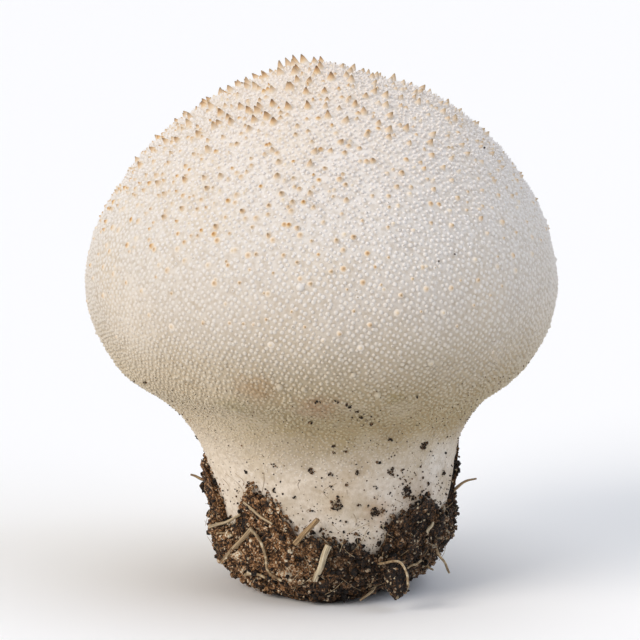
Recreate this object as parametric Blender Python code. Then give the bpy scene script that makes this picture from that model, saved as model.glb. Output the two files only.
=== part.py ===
"""A small puffball mushroom as picked, standing upright on the soil that clings to its foot.

Frame: metres, +Z up, origin at the middle of the flat spot under the soil. -Y is the side that
the photograph shows, and azimuths are counted from it towards +X.
"""

import math
import random

import bmesh
import bpy
import numpy as np
from mathutils import Vector
from mathutils.geometry import delaunay_2d_cdt

MM = 0.001
GAP = 0.3 * MM  # air between neighbouring solids
SEED = 8040

# Driving sizes of the mushroom
HEAD_RADIUS = 24.6 * MM
BODY_TOP = 55.5 * MM  # skin at the crown, without its spines
STEM_RADIUS = 12.25 * MM
FOOT_BOTTOM = 1.7 * MM  # lowest point of the foot, inside the soil
HEAD_LEAN = -0.95 * MM  # the head's axis stands this far to the left of the foot's
LEAN_HEIGHTS = (12 * MM, 24 * MM)  # the axis leans between these heights
CROWN_LEAN = 0.35 * MM  # the crown leans back a little, above this height
CROWN_HEIGHT = 38 * MM
LOBES = ((2, 0.006, 0.7), (3, 0.005, 2.1), (5, 0.003, 4.0))  # waves round, share of radius, phase

# The skin's outline from crown to foot, as shares of the head's radius and of the body's top
OUTLINE = (
    (0.000, 1.000),
    (0.200, 0.977),
    (0.385, 0.943),
    (0.570, 0.898),
    (0.735, 0.838),
    (0.868, 0.764),
    (0.957, 0.688),
    (0.998, 0.612),
    (0.992, 0.549),
    (0.945, 0.487),
    (0.852, 0.424),
    (0.697, 0.372),
    (0.599, 0.322),
    (0.540, 0.266),
)

# Spines and granules, larger towards the crown. Each row is height on the body, then a value
SPINE_GAP = ((55, 2.1), (46, 2.5), (38, 3.4), (30, 5.5))
SPINE_HEIGHT = ((56, 1.20), (51, 0.98), (46, 0.78), (40, 0.64), (34, 0.56), (28, 0.50))
SPINE_BASE = ((56, 0.50), (42, 0.46), (28, 0.36))
SPINE_FLOOR = 29 * MM  # no spine grows below this height
GRANULE_GAP = ((56, 1.6), (48, 1.75), (36, 1.95), (26, 1.95), (18, 2.1), (13, 3.2), (0, 3.8))
GRANULE_HEIGHT = ((56, 0.34), (44, 0.44), (30, 0.50), (20, 0.42), (15, 0.16), (13, 0.0))
DIP_SHARE = 0.7  # depth of the dips between granules, as a share of their height
SPINE_TILT = 0.22  # how far a tip may stray sideways, as a share of its height
THROWS = 16000  # tries at placing a granule
FOOT_RING = 26  # points round the last ring under the foot
FOOT_RING_RADIUS = 6.5 * MM

# The soil crust
SPOT_RADIUS = (
    (-180, 8.0), (-120, 8.0), (-90, 7.6), (-60, 7.2), (-41, 7.6), (-20, 8.6), (-2, 9.0), (14, 7.4),
    (32, 5.8), (60, 5.0), (90, 5.4), (120, 7.2),
)  # azimuth in degrees, reach of the flat spot
CRUST_RADIUS = 12.6 * MM
# Share of the way from the spot to that radius, and height
CRUST_OUTLINE = ((0.28, 0.4), (0.58, 1.5), (0.82, 3.2), (0.94, 5.2), (1.0, 7.0))
CRUST_SKIN = 0.38 * MM  # thickness of the crust above that outline, between its lumps
RIM_HEIGHT = (
    (-104, 10.5), (-94, 12.6), (-84, 13.0), (-72, 12.4), (-66, 10.8), (-62, 8.2), (-55, 7.7),
    (-50, 8.6), (-46, 10.8), (-38, 12.6), (-33, 12.2), (-27, 11.1), (-21, 9.5), (-15, 7.7), (-9, 7.8),
    (-5, 7.2), (1, 7.6), (6, 7.0), (14, 6.7), (23, 6.1), (26.5, 7.6), (30, 9.1), (36, 9.5), (45, 10.5),
    (51, 11.0), (61, 9.9), (70, 8.1), (84, 8.3), (94, 13.0), (104, 16.4), (114, 11.0), (135, 9.0),
    (155, 11.5), (175, 9.4), (200, 7.0), (222, 9.6), (240, 8.2),
)  # azimuth in degrees, height of the crust's upper edge
CRUST_COLUMNS = 72
OUTER_RINGS = 12
INNER_RINGS = 8
CUP_GAP = 1.5 * GAP  # more than the gap, as the cup's flat faces cut the corners of the foot
CUP_FLOOR_RADIUS = 4.5 * MM  # the first ring of the inside, round the flat middle
LUMPS = 80
LUMP_HEIGHT = (0.3 * MM, 0.75 * MM)
LUMP_WIDTH = (0.9 * MM, 1.6 * MM)
CRUMBLE = 0.65 * MM  # each point of the crust stands out by up to this
RIM_STRAY = 0.9 * MM  # the crust's upper edge strays up or down by half of this

# The clod that hangs in front of the crust by a root
CLOD_AZIMUTH = 27.6
CLOD_REACH = 14.6 * MM
CLOD_MIDDLE = 3.35 * MM
CLOD_SIZE = (2.3 * MM, 2.0 * MM, 3.8 * MM)
CLOD_RELIEF = 0.09

# Litter stuck in the soil: radius at the first and last point, then points as azimuth in degrees,
# height and lift off the crust, both in millimetres
STRAWS = {
    "straw_left_spur": (0.26, 0.12, ((-91, 11.0, -0.4), (-91, 11.2, 0.4), (-91, 11.7, 1.5))),
    "straw_left_cross": (0.20, 0.16, ((-71, 7.1, 0.15), (-58, 8.1, 0.3), (-45, 9.5, 0.3))),
    "straw_left_long": (0.26, 0.22, ((-73, 3.0, 0.15), (-50, 6.0, 0.3), (-38, 8.3, 0.35))),
    "straw_left_thin": (0.16, 0.16, ((-40.6, 11.1, 0.3), (-33.5, 10.0, 0.3), (-26.6, 9.2, 0.2))),
    "straw_middle_brown": (0.32, 0.30, ((-16.7, 7.15, 0.3), (-11.2, 8.6, 0.4), (-5.8, 9.95, 0.45))),
    "straw_middle_pale": (0.36, 0.30, ((-1.3, 7.15, 0.35), (-4.1, 5.3, 0.45), (-7.7, 3.2, 0.1))),
    "straw_right_spur": (0.22, 0.10, ((90, 9.7, -0.3), (90, 10.8, 0.7), (90, 11.3, 2.1))),
    "straw_right_short": (0.22, 0.10, ((88, 6.1, -0.4), (88, 5.6, 0.3), (88, 5.1, 0.9))),
    "straw_right_chip": (0.20, 0.18, ((49.5, 7.2, 0.15), (51.6, 7.7, 0.25), (54, 8.3, 0.2))),
    "straw_right_low": (0.20, 0.10, ((62, 3.2, -0.4), (61, 3.1, 0.4), (60, 2.8, 1.3))),
    "straw_front_low": (0.18, 0.12, ((30, 2.26, -0.9), (24.3, 1.3, 0.4), (17, 0.45, 1.3))),
    "straw_back_long": (0.26, 0.22, ((150, 4.2, 0.15), (165, 6.0, 0.3), (178, 7.6, 0.3))),
    "straw_back_spur": (0.24, 0.10, ((-140, 5.6, -0.4), (-141, 6.2, 0.4), (-142, 7.1, 1.8))),
}
ROOTLETS = {
    "rootlet_left_curve": (
        0.16, 0.14,
        ((-37.1, 8.5, 1.0), (-33.6, 7.3, 0.3), (-32.2, 5.5, 0.3), (-31.6, 3.85, 0.3), (-25, 2.85, 0.2)),
    ),
    "rootlet_left_low": (0.16, 0.14, ((-50.8, 2.6, 0.2), (-41, 3.2, 0.3), (-34.5, 2.95, 0.2))),
    "rootlet_left_fine": (
        0.12, 0.12, ((-66, 6.4, -0.3), (-63, 6.7, 0.25), (-57, 7.0, 0.3), (-51.5, 6.9, 0.25)),
    ),
    "rootlet_right_hanging": (0.16, 0.12, ((61, 5.6, -0.3), (67, 3.9, 0.8), (75, 1.9, 2.9))),
    "rootlet_right_low": (0.13, 0.12, ((40.7, 3.7, 0.1), (45.2, 4.0, 0.2), (50.3, 4.2, 0.1))),
    "rootlet_back_curve": (0.16, 0.12, ((-165, 7.4, 0.2), (-152, 5.2, 0.3), (-156, 2.8, 0.3))),
    "rootlet_back_hanging": (0.16, 0.10, ((118, 6.0, -0.3), (121, 4.4, 0.7), (126, 2.4, 1.6))),
}
LOOP_RADIUS = (0.15, 0.12)
LOOP_START = (23.5, 4.55, -0.5)
LOOP_STANDOFF = 0.42 * MM  # the looping root's line stands this far off the clod
STRAW_SIDES = 6
TUBE_STEPS = 7

COLOURS = {
    "puffball": ((0.80, 0.74, 0.65), 0.75),
    "soil": ((0.075, 0.052, 0.036), 0.95),
    "straw": ((0.50, 0.38, 0.22), 0.70),
    "rootlet": ((0.42, 0.31, 0.20), 0.75),
}


def by_row(rows, value):
    """The value that rows of (place, value) give at a place, with a straight line between rows."""
    rows = sorted(rows)
    return np.interp(value, [row[0] for row in rows], [row[1] for row in rows])


def round_the_circle(rows, azimuth):
    """A smooth closed curve through rows of (azimuth in degrees, value), read at an azimuth."""
    rows = sorted((row[0] % 360, row[1]) for row in rows)
    places = [row[0] for row in rows]
    values = [row[1] for row in rows]
    azimuth = azimuth % 360
    after = next((i for i, place in enumerate(places) if place > azimuth), 0)
    start = (places[after - 1], values[after - 1])
    span = (places[after] - start[0]) % 360
    share = ((azimuth - start[0]) % 360) / span
    ease = share * share * (3 - 2 * share)
    return start[1] + (values[after] - start[1]) * ease


def smooth_line(points, steps):
    """Catmull-Rom points through a list whose first and last entries only steer the ends."""
    line = []
    for before, a, b, after in zip(points, points[1:], points[2:], points[3:]):
        for step in range(steps):
            t = step / steps
            line.append(
                0.5 * (2 * a + (b - before) * t + (2 * before - 5 * a + 4 * b - after) * t**2
                       + (3 * a - before - 3 * b + after) * t**3)
            )
    line.append(points[-2])
    return np.array(line)


def ease_between(low, high, value):
    share = np.clip((value - low) / (high - low), 0, 1)
    return share * share * (3 - 2 * share)


class Skin:
    """The body's smooth surface: an outline turned round an axis that leans a little."""

    def __init__(self):
        shape = [np.array((r * HEAD_RADIUS, z * BODY_TOP)) for r, z in OUTLINE]
        shape += [
            np.array((STEM_RADIUS, 0.75 * STEM_RADIUS)),
            np.array((0.965 * STEM_RADIUS, 0.54 * STEM_RADIUS)),
            np.array((0.88 * STEM_RADIUS, 0.34 * STEM_RADIUS)),
            np.array((0.72 * STEM_RADIUS, 0.22 * STEM_RADIUS)),
            np.array((0.40 * STEM_RADIUS, FOOT_BOTTOM + 0.1 * MM)),
            np.array((0.0, FOOT_BOTTOM)),
        ]
        mirror = np.array((-1, 1))
        line = smooth_line([shape[1] * mirror, *shape, shape[-2] * mirror], 24)
        self.radius = np.maximum(line[:, 0], 0)
        self.height = line[:, 1]
        step = np.diff(line, axis=0)
        length = np.linalg.norm(step, axis=1)
        self.along = np.concatenate([[0], np.cumsum(length)])
        slope = np.gradient(line, self.along, axis=0)
        slope /= np.linalg.norm(slope, axis=1)[:, None]
        self.out = -slope[:, 1]
        self.up = slope[:, 0]
        # Lengths on this stretched scale keep angles when the surface is unrolled into a disc
        middle = np.maximum((self.radius[1:] + self.radius[:-1]) / 2, 1e-5)
        self.stretch = np.concatenate([[0], np.cumsum(length / middle)])

    def read(self, along, what):
        return np.interp(along, self.along, what)

    def along_at(self, height):
        """Distance from the crown along the outline, at a height above the foot."""
        return np.interp(-height, -self.height, self.along)

    def axis(self, height):
        lean = HEAD_LEAN * ease_between(*LEAN_HEIGHTS, height)
        return lean + CROWN_LEAN * ease_between(CROWN_HEIGHT, BODY_TOP, height)

    def point(self, along, azimuth, lift=0.0):
        """A point lift above the skin, at a distance from the crown and an azimuth in radians."""
        height = self.read(along, self.height)
        reach = self.read(along, self.radius)
        head = ease_between(*LEAN_HEIGHTS, height)
        for waves, share, phase in LOBES:
            reach = reach * (1 + head * share * np.sin(waves * azimuth + phase))
        reach = reach + lift * self.read(along, self.out)
        return Vector(
            (
                self.axis(height) + reach * math.sin(azimuth),
                -reach * math.cos(azimuth),
                height + lift * self.read(along, self.up),
            )
        )

    def unrolled(self, along, azimuth):
        """Where a point of the skin lies on a disc that keeps the surface's angles."""
        reach = math.exp(self.read(along, self.stretch) - self.stretch[-1] / 2)
        return complex(reach * math.cos(azimuth), reach * math.sin(azimuth))

    def rolled(self, place):
        """(distance from the crown, azimuth) of a place on that disc."""
        if abs(place) < 1e-9:
            return 0.0, 0.0
        stretch = math.log(abs(place)) + self.stretch[-1] / 2
        return float(np.interp(stretch, self.stretch, self.along)), math.atan2(place.imag, place.real)


def scatter_granules(skin, dice, end):
    """Granule centres as (distance from the crown, azimuth), closest together at the crown."""
    area = np.cumsum(np.gradient(skin.along) * skin.radius)[skin.along <= end]
    kept = [(0.0, 0.0)]
    places = [skin.point(0.0, 0.0)]
    taken = np.full((THROWS, 3), np.inf)
    taken[0] = places[0]
    for _ in range(THROWS):
        along = float(np.interp(dice.random() * area[-1], area, skin.along[: len(area)]))
        azimuth = dice.uniform(-math.pi, math.pi)
        place = skin.point(along, azimuth)
        gap = by_row(GRANULE_GAP, place.z / MM) * MM
        if np.linalg.norm(taken[: len(places)] - place, axis=1).min() > gap:
            taken[len(places)] = place
            kept.append((along, azimuth))
            places.append(place)
    return kept, places


def choose_spines(places, dice):
    """The granules that grow into spines: an even choice of the upper ones."""
    order = list(range(len(places)))
    dice.shuffle(order)
    spines = [0]
    for index in order:
        height = places[index].z
        gap = by_row(SPINE_GAP, height / MM) * MM
        clear = all((places[index] - places[other]).length > gap for other in spines)
        if height > SPINE_FLOOR and clear:
            spines.append(index)
    return set(spines)


def tip_of(skin, along, azimuth, height, dice):
    """A spine's or granule's tip, a little off the straight."""
    tip = skin.point(along, azimuth, height)
    stray = height * SPINE_TILT
    return tip + Vector((dice.uniform(-stray, stray) for _ in range(3)))


def puffball(skin):
    """Head, neck and foot in one solid, with its granules and spines raised from the skin.

    Each granule is a low pyramid whose foot runs through the dips between it and its neighbours.
    A spine is a steep cone with a narrow ring of its own inside such a foot.
    """
    dice = random.Random(SEED)
    under = skin.height < STEM_RADIUS / 2
    foot = float(np.interp(-FOOT_RING_RADIUS, -skin.radius[under], skin.along[under]))
    last_free = foot - by_row(GRANULE_GAP, 0) * MM / 2
    centres, places = scatter_granules(skin, dice, last_free)
    spines = choose_spines(places, dice)
    free = len(centres)
    centres += [(foot, 2 * math.pi * i / FOOT_RING) for i in range(FOOT_RING)]
    disc = [skin.unrolled(*centre) for centre in centres]
    triangles = delaunay_2d_cdt([Vector((w.real, w.imag)) for w in disc], [], [], 0, 1e-7)[2]

    mesh = bmesh.new()
    tips = []
    for index, (along, azimuth) in enumerate(centres):
        height = skin.read(along, skin.height) / MM
        lift = by_row(GRANULE_HEIGHT, height) * MM * dice.uniform(0.8, 1.2)
        if index in spines:
            lift = by_row(SPINE_HEIGHT, height) * MM * dice.uniform(0.8, 1.15)
        if index < free:
            tips.append(mesh.verts.new(tip_of(skin, along, azimuth, lift, dice)))
        else:
            tips.append(mesh.verts.new(skin.point(along, azimuth)))
    dips = []
    for triangle in triangles:
        middle = sum(disc[i] for i in triangle) / 3
        along, azimuth = skin.rolled(middle)
        depth = DIP_SHARE * by_row(GRANULE_HEIGHT, skin.read(along, skin.height) / MM) * MM
        dips.append((middle, mesh.verts.new(skin.point(along, azimuth, -depth))))

    rings = {}

    def ring_point(index, dip):
        """A corner of the ring at a spine's root, on the way to one of the dips round it."""
        if (index, dip) not in rings:
            middle, corner = dips[dip]
            base = by_row(SPINE_BASE, places[index].z / MM) * MM
            share = min(0.8, base / (corner.co - places[index]).length)
            place = disc[index] + (middle - disc[index]) * share
            rings[index, dip] = mesh.verts.new(skin.point(*skin.rolled(place)))
        return rings[index, dip]

    side = {}
    for number, (a, b, c) in enumerate(triangles):
        side[a, b] = side[b, c] = side[c, a] = number
    pole = mesh.verts.new(skin.point(skin.along[-1], 0.0))
    for (a, b), inner in side.items():
        outer = side.get((b, a))
        if outer is None:
            mesh.faces.new((tips[a], tips[b], dips[inner][1]))
            mesh.faces.new((tips[b], tips[a], pole))
        elif a in spines:
            near, far = ring_point(a, outer), ring_point(a, inner)
            mesh.faces.new((tips[a], near, far))
            mesh.faces.new((near, dips[outer][1], dips[inner][1], far))
        else:
            mesh.faces.new((tips[a], dips[outer][1], dips[inner][1]))
    finished("puffball", mesh, "puffball")


def spread_along(line, count):
    """count points at even distances along a line, its ends among them."""
    length = np.concatenate([[0], np.cumsum(np.linalg.norm(np.diff(line, axis=0), axis=1))])
    places = np.linspace(0, length[-1], count)
    return np.stack([np.interp(places, length, line[:, i]) for i in (0, 1)], axis=1)


def turned(radius, height, turn):
    return Vector((radius * math.sin(turn), -radius * math.cos(turn), height))


class Crust:
    """The soil round the foot: a ragged cup with a flat spot below and lumps all over."""

    def __init__(self, skin):
        self.skin = skin
        self.dice = random.Random(SEED + 1)
        self.lumps = []
        for _ in range(LUMPS):
            place = turned(CRUST_RADIUS, self.dice.uniform(1, 12) * MM, self.dice.uniform(-math.pi, math.pi))
            self.lumps.append((place, self.dice.uniform(*LUMP_WIDTH), self.dice.uniform(*LUMP_HEIGHT)))

    def outside(self, azimuth, rim):
        """The even outer surface at an azimuth, as (radius, height) from the flat spot to the rim."""
        spot = round_the_circle(SPOT_RADIUS, azimuth) * MM
        line = [np.array((spot, 0.0))]
        line += [np.array((spot + out * (CRUST_RADIUS - spot), up * MM)) for out, up in CRUST_OUTLINE]
        for height in np.arange(9, 18) * MM:
            reach = self.skin.read(self.skin.along_at(height), self.skin.radius)
            line.append(np.array((reach + GAP + CRUST_SKIN, height)))
        line = smooth_line([line[0] - np.array((MM, 0)), *line, line[-1] + np.array((0, MM))], 8)
        return line[line[:, 1] <= rim]

    def inside(self, rim):
        """The cup's inside, as (radius, height) from its floor to the rim."""
        skin = self.skin
        under = skin.height < STEM_RADIUS / 2
        start = np.interp(-CUP_FLOOR_RADIUS, -skin.radius[under], skin.along[under])
        low = np.linspace(start, skin.along_at(rim), 60)
        radius = skin.read(low, skin.radius) + CUP_GAP * skin.read(low, skin.out)
        return np.stack([radius, skin.read(low, skin.height) + CUP_GAP * skin.read(low, skin.up)], axis=1)

    def lumpiness(self, place):
        """How far the lumps stand out at a place."""
        return max(
            high * math.exp(-(((place - spot).length / wide) ** 2)) for spot, wide, high in self.lumps
        )

    def on_surface(self, azimuth, height, lift):
        """A point lift outside the soil. Height and lift are in millimetres."""
        line = self.outside(azimuth, 17 * MM)
        turn = math.radians(azimuth)
        reach = np.interp(height * MM, line[:, 1], line[:, 0])
        reach += self.lumpiness(turned(reach, height * MM, turn)) + CRUMBLE / 3
        return turned(reach + lift * MM, height * MM, turn)

    def column(self, azimuth):
        """Points up the outside and down the inside at one azimuth."""
        rim = round_the_circle(RIM_HEIGHT, azimuth) * MM + self.dice.uniform(-0.5, 0.5) * RIM_STRAY
        turn = math.radians(azimuth)
        points = []
        for step, (radius, height) in enumerate(spread_along(self.outside(azimuth, rim), OUTER_RINGS)):
            bump = self.lumpiness(turned(radius, height, turn)) + self.dice.random() * CRUMBLE
            bump *= min(1, 3 * step / OUTER_RINGS)
            if step == OUTER_RINGS - 1:
                bump *= 0.4
            elif step:
                height += self.dice.uniform(-0.3, 0.3) * CRUMBLE
            points.append(turned(radius + bump, max(height, 0), turn))
        points += [turned(*point, turn) for point in spread_along(self.inside(rim), INNER_RINGS)[::-1]]
        for point in points:
            point.x += self.skin.axis(point.z)
        return points

    def build(self, channels):
        """The crust's solid, with a channel cut for each piece of litter."""
        mesh = bmesh.new()
        columns = []
        for number in range(CRUST_COLUMNS):
            points = self.column(360 * number / CRUST_COLUMNS)
            columns.append([mesh.verts.new(point) for point in points])
        mesh.faces.new([column[0] for column in reversed(columns)])
        top = mesh.verts.new((0, 0, FOOT_BOTTOM - CUP_GAP))
        for here, there in zip(columns, columns[1:] + columns[:1]):
            for low, high, low_there, high_there in zip(here, here[1:], there, there[1:]):
                mesh.faces.new((low, low_there, high_there, high))
            mesh.faces.new((here[-1], there[-1], top))
        crust = finished("soil_crust", mesh, "soil")
        cut = crust.modifiers.new("litter channels", "BOOLEAN")
        cut.operation = "DIFFERENCE"
        cut.operand_type = "COLLECTION"
        cut.collection = channels
        cut.solver = "EXACT"


def clod_place():
    return turned(CLOD_REACH, CLOD_MIDDLE, math.radians(CLOD_AZIMUTH))


def soil_clod():
    """A crumb of dark soil, drawn out to a point below, that a root holds on."""
    dice = random.Random(SEED + 2)
    mesh = bmesh.new()
    bmesh.ops.create_icosphere(mesh, subdivisions=2, radius=0.5)
    for vert in mesh.verts:
        low = max(-vert.co.z, 0)
        vert.co *= 1 + dice.uniform(-1, 1) * CLOD_RELIEF
        vert.co.x *= CLOD_SIZE[0] * (1 - 0.9 * low * low)
        vert.co.y *= CLOD_SIZE[1] * (1 - 0.9 * low * low)
        vert.co.z *= CLOD_SIZE[2]
        vert.co += clod_place()
    return finished("soil_clod", mesh, "soil")


def tube(mesh, points, start, end, sides):
    """A round rod with closed ends along points, its radius running from start to end."""
    rings = []
    way = points[1] - points[0]
    across = way.orthogonal().normalized()
    for number, point in enumerate(points):
        way = points[min(number + 1, len(points) - 1)] - points[max(number - 1, 0)]
        across = (across - across.project(way)).normalized()
        over = way.cross(across).normalized()
        radius = start + (end - start) * number / (len(points) - 1)
        turns = [2 * math.pi * k / sides for k in range(sides)]
        rings.append(
            [mesh.verts.new(point + radius * (across * math.cos(t) + over * math.sin(t))) for t in turns]
        )
    for low, high in zip(rings, rings[1:]):
        for k in range(sides):
            mesh.faces.new((low[k], low[k - 1], high[k - 1], high[k]))
    mesh.faces.new(rings[0])
    mesh.faces.new(rings[-1][::-1])
    bmesh.ops.recalc_face_normals(mesh, faces=mesh.faces)


def litter(name, points, radii, kind, channels):
    """One straw or rootlet, with a wider copy of it that cuts its channel in the soil."""
    ends = [points[0] * 2 - points[1], *points, points[-1] * 2 - points[-2]]
    line = [Vector(p) for p in smooth_line([np.array(p) for p in ends], TUBE_STEPS // (len(points) - 1) + 1)]
    start, end = (radius * MM for radius in radii)
    piece = bmesh.new()
    tube(piece, line, start, end, STRAW_SIDES)
    finished(name, piece, kind)
    cutter = bmesh.new()
    reach = (line[0] - line[1]).normalized() * GAP
    beyond = (line[-1] - line[-2]).normalized() * GAP
    tube(cutter, [line[0] + reach, *line[1:-1], line[-1] + beyond], start + GAP, end + GAP, STRAW_SIDES)
    channel = finished("channel_" + name, cutter, kind, channels)
    channel.hide_render = True
    channel.display_type = "WIRE"


def looping_root(crust):
    """The root that comes out of the crust, runs over the clod and down its outer side."""
    middle = clod_place()
    away = Vector((middle.x, middle.y, 0)).normalized()
    side = Vector((-away.y, away.x, 0))
    width, depth, height = (size / 2 + LOOP_STANDOFF for size in CLOD_SIZE)
    return [
        crust.on_surface(*LOOP_START),
        middle - side * width * 0.5 + away * depth * 0.15 + Vector((0, 0, height * 0.94)),
        middle + away * depth * 0.55 + Vector((0, 0, height * 0.9)),
        middle + side * width * 0.3 + away * depth * 0.9 + Vector((0, 0, height * 0.45)),
        middle + side * width * 0.35 + away * depth * 0.98 + Vector((0, 0, -height * 0.1)),
    ]


def material(kind):
    name = kind + " finish"
    if name not in bpy.data.materials:
        colour, roughness = COLOURS[kind]
        made = bpy.data.materials.new(name)
        made.use_nodes = True
        shader = made.node_tree.nodes["Principled BSDF"]
        shader.inputs["Base Color"].default_value = (*colour, 1)
        shader.inputs["Roughness"].default_value = roughness
        shader.inputs["Metallic"].default_value = 0
    return bpy.data.materials[name]


def finished(name, mesh, kind, collection=None):
    data = bpy.data.meshes.new(name)
    mesh.to_mesh(data)
    mesh.free()
    data.materials.append(material(kind))
    obj = bpy.data.objects.new(name, data)
    (collection or bpy.context.scene.collection).objects.link(obj)
    return obj


def main():
    for obj in list(bpy.data.objects):
        bpy.data.objects.remove(obj)
    channels = bpy.data.collections.new("litter channels")
    bpy.context.scene.collection.children.link(channels)
    skin = Skin()
    puffball(skin)
    crust = Crust(skin)
    for kind, pieces in (("straw", STRAWS), ("rootlet", ROOTLETS)):
        for name, (start, end, points) in pieces.items():
            line = [crust.on_surface(*point) for point in points]
            litter(name, line, (start, end), kind, channels)
    litter("rootlet_loop", looping_root(crust), LOOP_RADIUS, "rootlet", channels)
    crust.build(channels)
    soil_clod()


main()
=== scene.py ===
"""Small puffball mushroom: the visible skin, spines, granules, soil and litter round its solids.

Everything is in metres in the frame of the solids: +Z up, origin at the middle of the flat spot
under the soil, -Y towards the camera. Azimuths are counted from -Y towards +X.
"""

import math
import random
from itertools import product

import bmesh
import bpy
import numpy as np
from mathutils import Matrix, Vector
from mathutils.kdtree import KDTree


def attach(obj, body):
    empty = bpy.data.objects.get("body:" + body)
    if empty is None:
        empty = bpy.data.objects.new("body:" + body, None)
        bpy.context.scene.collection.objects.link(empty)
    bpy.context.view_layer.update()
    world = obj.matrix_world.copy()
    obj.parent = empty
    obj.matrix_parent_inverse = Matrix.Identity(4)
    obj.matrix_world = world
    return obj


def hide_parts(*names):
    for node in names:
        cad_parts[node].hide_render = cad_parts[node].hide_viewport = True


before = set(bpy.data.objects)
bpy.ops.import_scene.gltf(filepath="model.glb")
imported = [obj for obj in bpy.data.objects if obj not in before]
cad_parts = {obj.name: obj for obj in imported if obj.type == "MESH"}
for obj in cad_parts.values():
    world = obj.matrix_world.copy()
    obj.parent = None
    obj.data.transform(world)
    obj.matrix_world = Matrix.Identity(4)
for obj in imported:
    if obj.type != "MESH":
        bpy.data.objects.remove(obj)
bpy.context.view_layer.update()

bl_info = {
    "name": "Small puffball mushroom",
    "version": (1, 0, 0),
    "blender": (4, 5, 0),
    "location": "3D View > Sidebar > Puffball",
    "description": "Grows a small puffball mushroom with the soil and litter at its foot",
    "category": "Add Mesh",
}

MM = 0.001
GOLDEN_ANGLE = math.pi * (3 - math.sqrt(5))

# ---------------------------------------------------------------- form of the mushroom

# The skin's outline from crown to foot, as shares of the head's radius and of the body's top
OUTLINE = (
    (0.000, 1.000), (0.200, 0.977), (0.385, 0.943), (0.570, 0.898), (0.735, 0.838),
    (0.868, 0.764), (0.957, 0.688), (0.998, 0.612), (0.992, 0.549), (0.945, 0.487),
    (0.852, 0.424), (0.697, 0.372), (0.599, 0.322), (0.540, 0.266),
)
# The foot below it, as shares of the stem's radius
FOOT_OUTLINE = ((1.0, 0.75), (0.965, 0.54), (0.88, 0.34), (0.72, 0.22), (0.40, 0.145), (0.0, 0.137))
HEAD_LEAN = -0.95  # the head's axis stands this many millimetres to the left of the foot's
LEAN_HEIGHTS = (12, 24)
CROWN_LEAN = 0.35
CROWN_HEIGHTS = (38, 55.5)
LOBES = ((2, 0.006, 0.7), (3, 0.005, 2.1), (5, 0.003, 4.0))  # waves round, share of radius, phase
# Dents and swellings: size in mm, depth in mm on the head, depth in mm on the stem
DENTS = ((7.0, 0.14, 0.10), (3.0, 0.08, 0.12), (1.3, 0.03, 0.07))
# Places where the skin swells out or sinks in: middle, width and height, all in mm
SWELLINGS = (
    ((-3.3, 1.0, 55.0), 2.6, 0.28), ((2.6, 1.0, 55.0), 4.2, -0.42), ((-25.5, 0.0, 30.0), 7.0, 0.2),
    ((-11.0, 3.0, 52.0), 5.5, 0.32), ((10.5, 2.0, 52.0), 5.5, 0.36), ((14.0, 3.0, 50.0), 5.0, 0.18),
)


def by_row(rows, value):
    """The value that rows of (place, value) give at a place, with a straight line between rows."""
    rows = sorted(rows)
    return np.interp(value, [row[0] for row in rows], [row[1] for row in rows])


def ease_between(low, high, value):
    share = np.clip((value - low) / (high - low), 0, 1)
    return share * share * (3 - 2 * share)


def smooth_line(points, steps):
    """Catmull-Rom points through a list whose first and last entries only steer the ends."""
    points = np.asarray(points, float)
    t = (np.arange(steps) / steps)[:, None]
    line = []
    for before, a, b, after in zip(points, points[1:], points[2:], points[3:]):
        square = (2 * before - 5 * a + 4 * b - after) * t**2
        cube = (3 * a - before - 3 * b + after) * t**3
        line.append(0.5 * (2 * a + (b - before) * t + square + cube))
    return np.concatenate([*line, points[-2:-1]])


def rolling(points, size, seed):
    """Smooth random heights between -1 and 1 in space, with swellings of about this size."""
    points = np.asarray(points) / size + seed * 7.31
    cell = np.floor(points).astype(np.int64)
    share = points - cell
    share = share * share * (3 - 2 * share)
    total = np.zeros(len(points))
    for corner in product((0, 1), repeat=3):
        at = cell + corner
        mixed = (at[:, 0] * 73856093) ^ (at[:, 1] * 19349663) ^ (at[:, 2] * 83492791)
        mixed = (mixed ^ (mixed >> 13)) * 1274126177 & 0x7FFFFFFF
        mixed = (mixed ^ (mixed >> 16)) & 0xFFFF
        weight = np.prod(np.where(corner, share, 1 - share), axis=1)
        total += weight * (mixed / 32767.5 - 1)
    return total


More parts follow.
